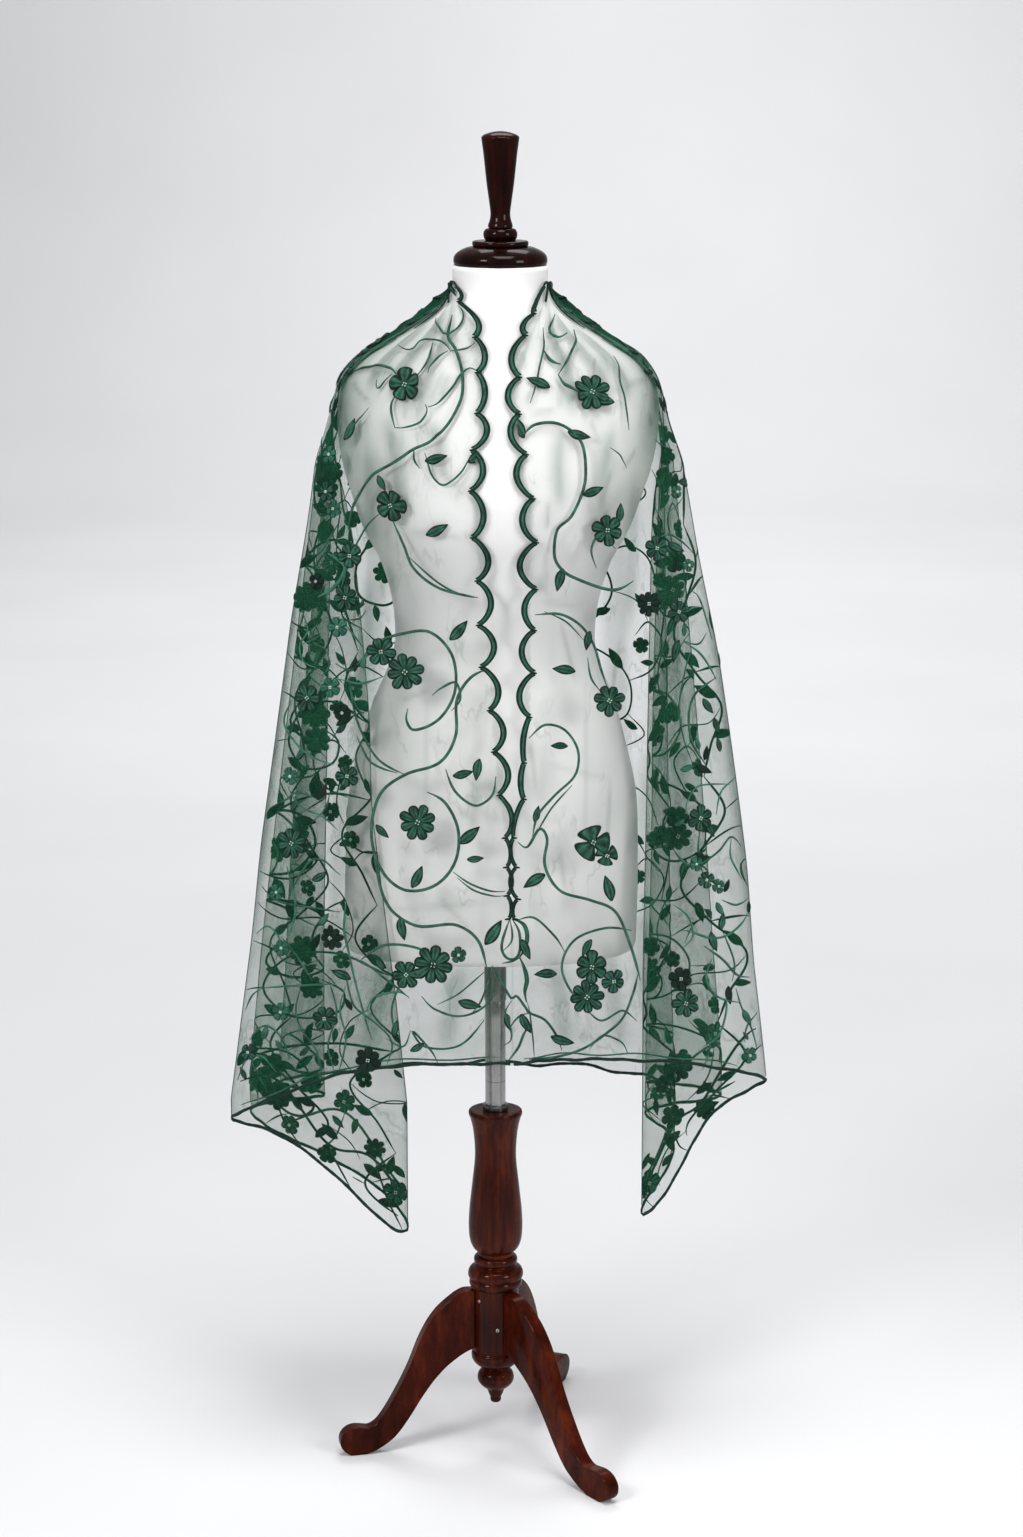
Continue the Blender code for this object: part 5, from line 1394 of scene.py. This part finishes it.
def makeForm():
    top = formRings[0, 0]
    low = drape["formBottom"]
    heights = list(np.linspace(top, low + coverShape["roll"], coverShape["rows"]))
    sizes = [1.0] * len(heights)
    for k in range(1, coverShape["rollSteps"] + 1):
        turn = math.pi / 2.0 * k / coverShape["rollSteps"]
        heights.append(low + coverShape["roll"] * (1.0 - math.sin(turn)))
        sizes.append(1.0 - coverShape["rollIn"] * (1.0 - math.cos(turn)))
    for share, rise in coverShape["under"]:
        sizes.append(share)
        heights.append(low + rise)
    angle = ringOf(coverShape["sides"])
    height = np.array(heights)[:, None]
    points = formPoint(angle[None], height)
    middle = np.zeros_like(points)
    middle[..., 0] = formLean(height)
    middle[..., 2] = points[..., 2]
    points = middle + (points - middle) * np.array(sizes)[:, None, None]
    for seam in coverShape["seams"]:
        apart = np.abs((angle - seam + math.pi) % math.tau - math.pi) * coverShape["radius"]
        groove = coverShape["seamDepth"] * np.exp(-(apart / coverShape["seamWidth"]) ** 2)
        points = points - formNormal(angle[None], height) * groove[None, :, None]
    points += np.array(drape["moved"])
    run = np.cumsum(np.linalg.norm(np.diff(points, axis=1, prepend=points[:, :1]), axis=-1), axis=1)
    pile = Pile()
    pile.addRings(points, np.stack(np.broadcast_arrays(run, height), -1))
    return pile.build("form_cover", (whiteCover,))


formCover = makeForm()
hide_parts("dress_form")


# Turned wood: radius and height in mm, point by point, a new row wherever the turner left a sharp edge

neckTurning = (
    (0, 1625, 7, 1624.3, 14, 1622.7, 19.5, 1620.5, 21.9, 1618.4),
    (22.1, 1616, 20.2, 1602.1, 18.1, 1583, 16.1, 1564.6, 13.8, 1548, 12, 1534.5, 11.6, 1529, 12.4, 1523, 14,
     1518, 14.6, 1515.5),
    (14.2, 1513.8, 13.2, 1512.8), (16.8, 1512.2, 19.2, 1509.4, 20, 1505.6, 19.3, 1501.8, 17.2, 1499),
    (24, 1498.6, 31, 1498.4), (32.7, 1497.4, 33.1, 1495.2, 32.8, 1493.2, 31.8, 1492),
    (39, 1490.7, 46, 1487.8, 51.5, 1484.2, 54.3, 1480.5, 55.2, 1476.8, 55.1, 1473.8, 54.3, 1471.5),
    (53, 1470.4, 40, 1470.3),
)
columnTurning = (
    (14, 436.6, 20, 436.6, 29, 436.6), (32, 436, 33.1, 433.8, 33, 431, 32.2, 429.2),
    (30.8, 425, 29, 418, 27.4, 409, 26.1, 396, 25.5, 382.3, 25.9, 370, 27.1, 358, 28.8, 343, 30.6, 327, 32.4,
     310, 33.3, 295, 33.4, 284, 32.6, 272.5, 30.6, 264, 27.2, 257.5, 24, 254.5),
    (22.8, 253.5, 22.1, 251.5, 21.9, 248),
)
hubTurning = (
    (15, 247.7, 20.5, 247.7), (24.8, 247.2, 26.8, 244.5, 27, 241.5, 26.2, 238.8, 24, 237.6),
    (23.6, 236.2, 26.2, 233.8), (30.8, 232.2, 33.4, 228.8, 34.3, 224.8, 34, 221.2, 32.4, 218.8),
    (31.3, 218, 31.6, 217.2), (32.5, 215.5, 32.8, 213, 32.2, 210.2, 30.6, 208, 28.7, 206.6),
    (28.5, 205, 28.5, 165, 28.5, 125), (27.9, 124, 28.8, 122.6),
    (30, 120.8, 30.3, 117.5, 29.7, 113.2, 27, 108.2, 22.5, 103.8, 18, 100.4, 16.8, 98.5),
    (18.6, 96.6, 21.2, 93.5, 22.6, 89.5, 22.8, 86.2, 21.9, 82, 19.2, 78, 15.6, 74.6, 12.4, 72.4),
    (10.8, 70.3, 9, 65.5, 7.4, 61.8, 6.4, 60.2), (6.8, 58.8, 6.7, 56.5, 5.6, 54.4, 3.4, 53.2, 0.8, 52.8),
)
turning = {"sides": 96, "least": 0.0004, "sharp": 34.0}


def turnedProfile(stretches):
    rows = smoothPath(np.reshape(stretches[0], (-1, 2)) / mm, 5)
    for stretch in stretches[1:]:
        knots = np.vstack((rows[-1], np.reshape(stretch, (-1, 2)) / mm))
        rows = np.vstack((rows, smoothPath(knots, 5)[1:]))
    return rows


def makeTurned(name, stretches, material, middle=0.0):
    rows = turnedProfile(stretches)
    turns = ringOf(turning["sides"])
    radius = np.repeat(np.maximum(rows[:, :1], turning["least"]), len(turns), axis=1)
    rings = np.stack((middle + radius * np.cos(turns)[None], radius * np.sin(turns)[None],
                      np.broadcast_to(rows[:, 1:], radius.shape)), -1) + np.array(drape["moved"])
    along = runAlong(rows)
    uvs = np.stack(np.broadcast_arrays(along[:, None], turns[None] * 0.03), -1)
    pile = Pile()
    pile.addRings(rings, uvs)
    item = pile.build(name, (material,))
    item.data.set_sharp_from_angle(angle=math.radians(turning["sharp"]))
    return item


neckPiece = makeTurned("neck_turning", neckTurning, capWood, float(formLean(1.47)))
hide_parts("neck_cap")
columnPiece = makeTurned("turned_column", columnTurning, turnedWood)
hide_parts("column")
hubPiece = makeTurned("hub_turning", hubTurning, turnedWood)
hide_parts("hub_and_finial")

tubeRows = {"pole": (3, 576.7, 12.2, 576.7, 12.5, 576.2, 12.5, 436.9, 3, 436.8),
            "sleeve": (3, 644.7, 13.6, 644.7, 13.6, 577.8, 13.3, 577, 3, 577),
            "collar": (12.7, 444, 14.8, 444, 15.6, 443, 15.6, 437.2, 12.7, 437)}


def makeTube(name, rows, material):
    # straight from point to point
    return makeTurned(name, [rows[:4]] + [rows[k:k + 2] for k in range(4, len(rows), 2)], material)


polePiece = makeTube("steel_pole", tubeRows["pole"], brightSteel)
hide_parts("pole")
sleevePiece = makeTube("pole_sleeve_tube", tubeRows["sleeve"], darkSteel)
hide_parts("pole_sleeve")
collarPiece = makeTube("pole_collar", tubeRows["collar"], darkSteel)
print("turned pieces ready")


# Legs: boards sawn to an S curve, with eased edges and a scrolled foot

legShape = {"thick": 0.0180, "ease": 0.0012, "start": 0.0288, "sharp": 14.0,
            "bearings": ((192.0, 1.0), (306.0, 1.254), (68.5, 1.25))}
legTop = (  # mm out from the hub, mm up, from the hub over the scroll to the floor
    0, 205.2, 11, 205.3, 20, 201.8, 28, 196.5, 38, 188.6, 48, 178.8, 59, 163.5, 70, 142, 80, 116.5, 90, 95,
     99, 78, 107.5, 63, 115, 51.2, 122.5, 41.5, 129.5, 36.2, 135, 34.7, 142, 35.7, 150, 36.6, 157.5, 35.4,
     164, 31.5, 168.5, 25.5, 170, 19, 168.8, 11.5, 164, 5, 158.5, 1.2, 156, 0.2,
)
legLow = (  # and back underneath
    139, 0.2, 132, 1.8, 122, 5.8, 106, 16, 96, 26, 87, 38, 77, 53, 67, 69, 53, 88.5, 41, 102, 31, 111.2, 17,
     121.3, 6, 127.2, 0, 129,
)


def makeLeg(name, bearing, reach):
    outline = np.vstack([smoothPath(np.reshape(side, (-1, 2)) / mm, 4) for side in (legTop, legLow)])
    half = legShape["thick"] / 2.0
    edge = legShape["ease"]
    before = np.roll(outline, 1, axis=0)
    after = np.roll(outline, -1, axis=0)
    along = unit(after - before)
    inward = np.stack((along[:, 1], -along[:, 0]), 1)
    held = (outline[:, 0] < 0.0005) | (outline[:, 1] < 0.0008)
    layers = []
    for turn in np.radians((90.0, 60.0, 30.0, 0.0)):
        inset = edge * (1.0 - math.cos(turn)) * np.where(held, 0.15, 1.0)
        layers.append((outline + inward * inset[:, None], half - edge * (1.0 - math.sin(turn))))
    layers += [(rows, -y) for rows, y in reversed(layers)]
    angle = math.radians(bearing)
    flat = np.array([np.stack((legShape["start"] + rows[:, 0] * reach, np.full(len(rows), y),
                               np.maximum(rows[:, 1], 0.0002)), 1) for rows, y in layers])
    turned = np.stack((flat[..., 0] * math.cos(angle) - flat[..., 1] * math.sin(angle),
                       flat[..., 0] * math.sin(angle) + flat[..., 1] * math.cos(angle), flat[..., 2]), -1)
    pile = Pile()
    pile.addRings(turned + np.array(drape["moved"]), np.stack((flat[..., 0], flat[..., 2]), -1))
    item = pile.build(name, (boardWood,))
    item.data.set_sharp_from_angle(angle=math.radians(legShape["sharp"]))
    return item


for number, (bearing, reach) in enumerate(legShape["bearings"], 1):
    board = makeLeg("leg_board_%d" % number, bearing, reach)
    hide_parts("leg_%d" % number)

screwLook = {"radius": 0.0025, "rise": 0.0012, "out": 0.0284, "sides": 20,
             "places": ((224.5, 0.1935), (275.5, 0.1580)),
             "dome": ((0.9, -0.3), (1.0, 0.1), (0.95, 0.6), (0.7, 0.9), (0.3, 1.0), (0.28, 0.5), (0.05, 0.45))}


def makeScrews():
    pile = Pile()
    for bearing, height in screwLook["places"]:
        out = np.array((math.cos(math.radians(bearing)), math.sin(math.radians(bearing)), 0.0))
        side = np.array((-out[1], out[0], 0.0))
        centre = out * screwLook["out"] + np.array((0.0, 0.0, height)) + np.array(drape["moved"])
        shape = np.array(screwLook["dome"]) * (screwLook["radius"], screwLook["rise"])
        rings = domeOf(centre, side, np.array((0.0, 0.0, 1.0)), out, shape, screwLook["sides"])
        pile.addRings(rings, np.zeros((*rings.shape[:2], 2)))
    return pile.build("hub_screws", (brightSteel,))


screws = makeScrews()

# The cut size of the net: its two long edges are the scalloped one and the side and back hem

print("net area %.3f" % sum(face.area for face in netSheet.data.polygons))


# Floor, camera and soft light

studio = {"floor": (0.755, 0.755, 0.76), "tones": ((0.3, (0.740, 0.740, 0.746)), (0.7, (0.770, 0.770, 0.776))),
          "back": 8.0, "front": 9.0, "side": 10.0, "curve": 2.0, "wall": 5.0}


def makeFloor():
    mesh = bpy.data.meshes.new("studio_floor")
    back = studio["back"]
    curve = studio["curve"]
    rows = [(-studio["front"], 0.0)]
    rows += [(back + curve * math.sin(turn), curve * (1.0 - math.cos(turn)))
             for turn in np.linspace(0.0, math.pi / 2.0, 24)]
    rows.append((back + curve, studio["wall"]))
    verts = [(x, y, z) for y, z in rows for x in (-studio["side"], studio["side"])]
    faces = [(2 * k, 2 * k + 1, 2 * k + 3, 2 * k + 2) for k in range(len(rows) - 1)]
    mesh.from_pydata(verts, [], faces)
    mesh.shade_smooth()
    material, tree, shader = newMaterial("studioPaper", studio["floor"], 0.85)
    place = addNode(tree, "ShaderNodeNewGeometry").outputs["Position"]
    shade = ramp(tree, noise(tree, place, 1.3, 2.0), studio["tones"])
    tree.links.new(shade, shader.inputs["Base Color"])
    mesh.materials.append(material)
    item = bpy.data.objects.new("studio_floor", mesh)
    bpy.context.collection.objects.link(item)


makeFloor()

cameraView = {"place": (0.0151, -4.2636, 1.785), "pitch": 77.8, "lens": 84.32}
camera = bpy.data.objects.new("camera", bpy.data.cameras.new("camera"))
camera.data.sensor_fit = "VERTICAL"
camera.data.sensor_height = 36.0
camera.data.lens = cameraView["lens"]
camera.location = cameraView["place"]
camera.rotation_euler = (math.radians(cameraView["pitch"]), 0.0, 0.0)
bpy.context.collection.objects.link(camera)
bpy.context.scene.camera = camera

lamps = (  # name, place, aimed at, size, watts, spread in degrees
    ("key", (-2.4, -2.6, 2.9), (0.0, 0.0, 0.95), 1.0, 66.0, 180.0),
    ("fill", (2.8, -2.4, 2.2), (0.0, 0.0, 0.9), 1.2, 47.0, 180.0),
    ("top", (0.25, -0.9, 3.6), (0.2, -0.5, 0.0), 1.3, 16.0, 90.0),
    ("overhead", (0.3, 4.2, 5.5), (0.3, 4.6, 0.0), 3.0, 136.0, 140.0),
    ("backdrop", (0.7, 7.4, 4.2), (0.7, 10.0, 0.6), 2.0, 55.0, 160.0),
)
for name, place, aim, size, watts, spread in lamps:
    data = bpy.data.lights.new(name, "AREA")
    data.shape = "SQUARE"
    data.size = size
    data.energy = watts
    data.spread = math.radians(spread)
    lamp = bpy.data.objects.new(name, data)
    lamp.location = place
    lamp.rotation_euler = (Vector(aim) - Vector(place)).to_track_quat("-Z", "Y").to_euler()
    bpy.context.collection.objects.link(lamp)

world = bpy.data.worlds.new("studio")
world.use_nodes = True
world.node_tree.nodes["Background"].inputs["Color"].default_value = (0.95, 0.96, 1.0, 1.0)
world.node_tree.nodes["Background"].inputs["Strength"].default_value = 0.40
bpy.context.scene.world = world
bpy.context.scene.view_settings.view_transform = "Standard"
bpy.context.scene.view_settings.look = "None"
bpy.context.scene.cycles.transparent_max_bounces = 32
print("studio ready")
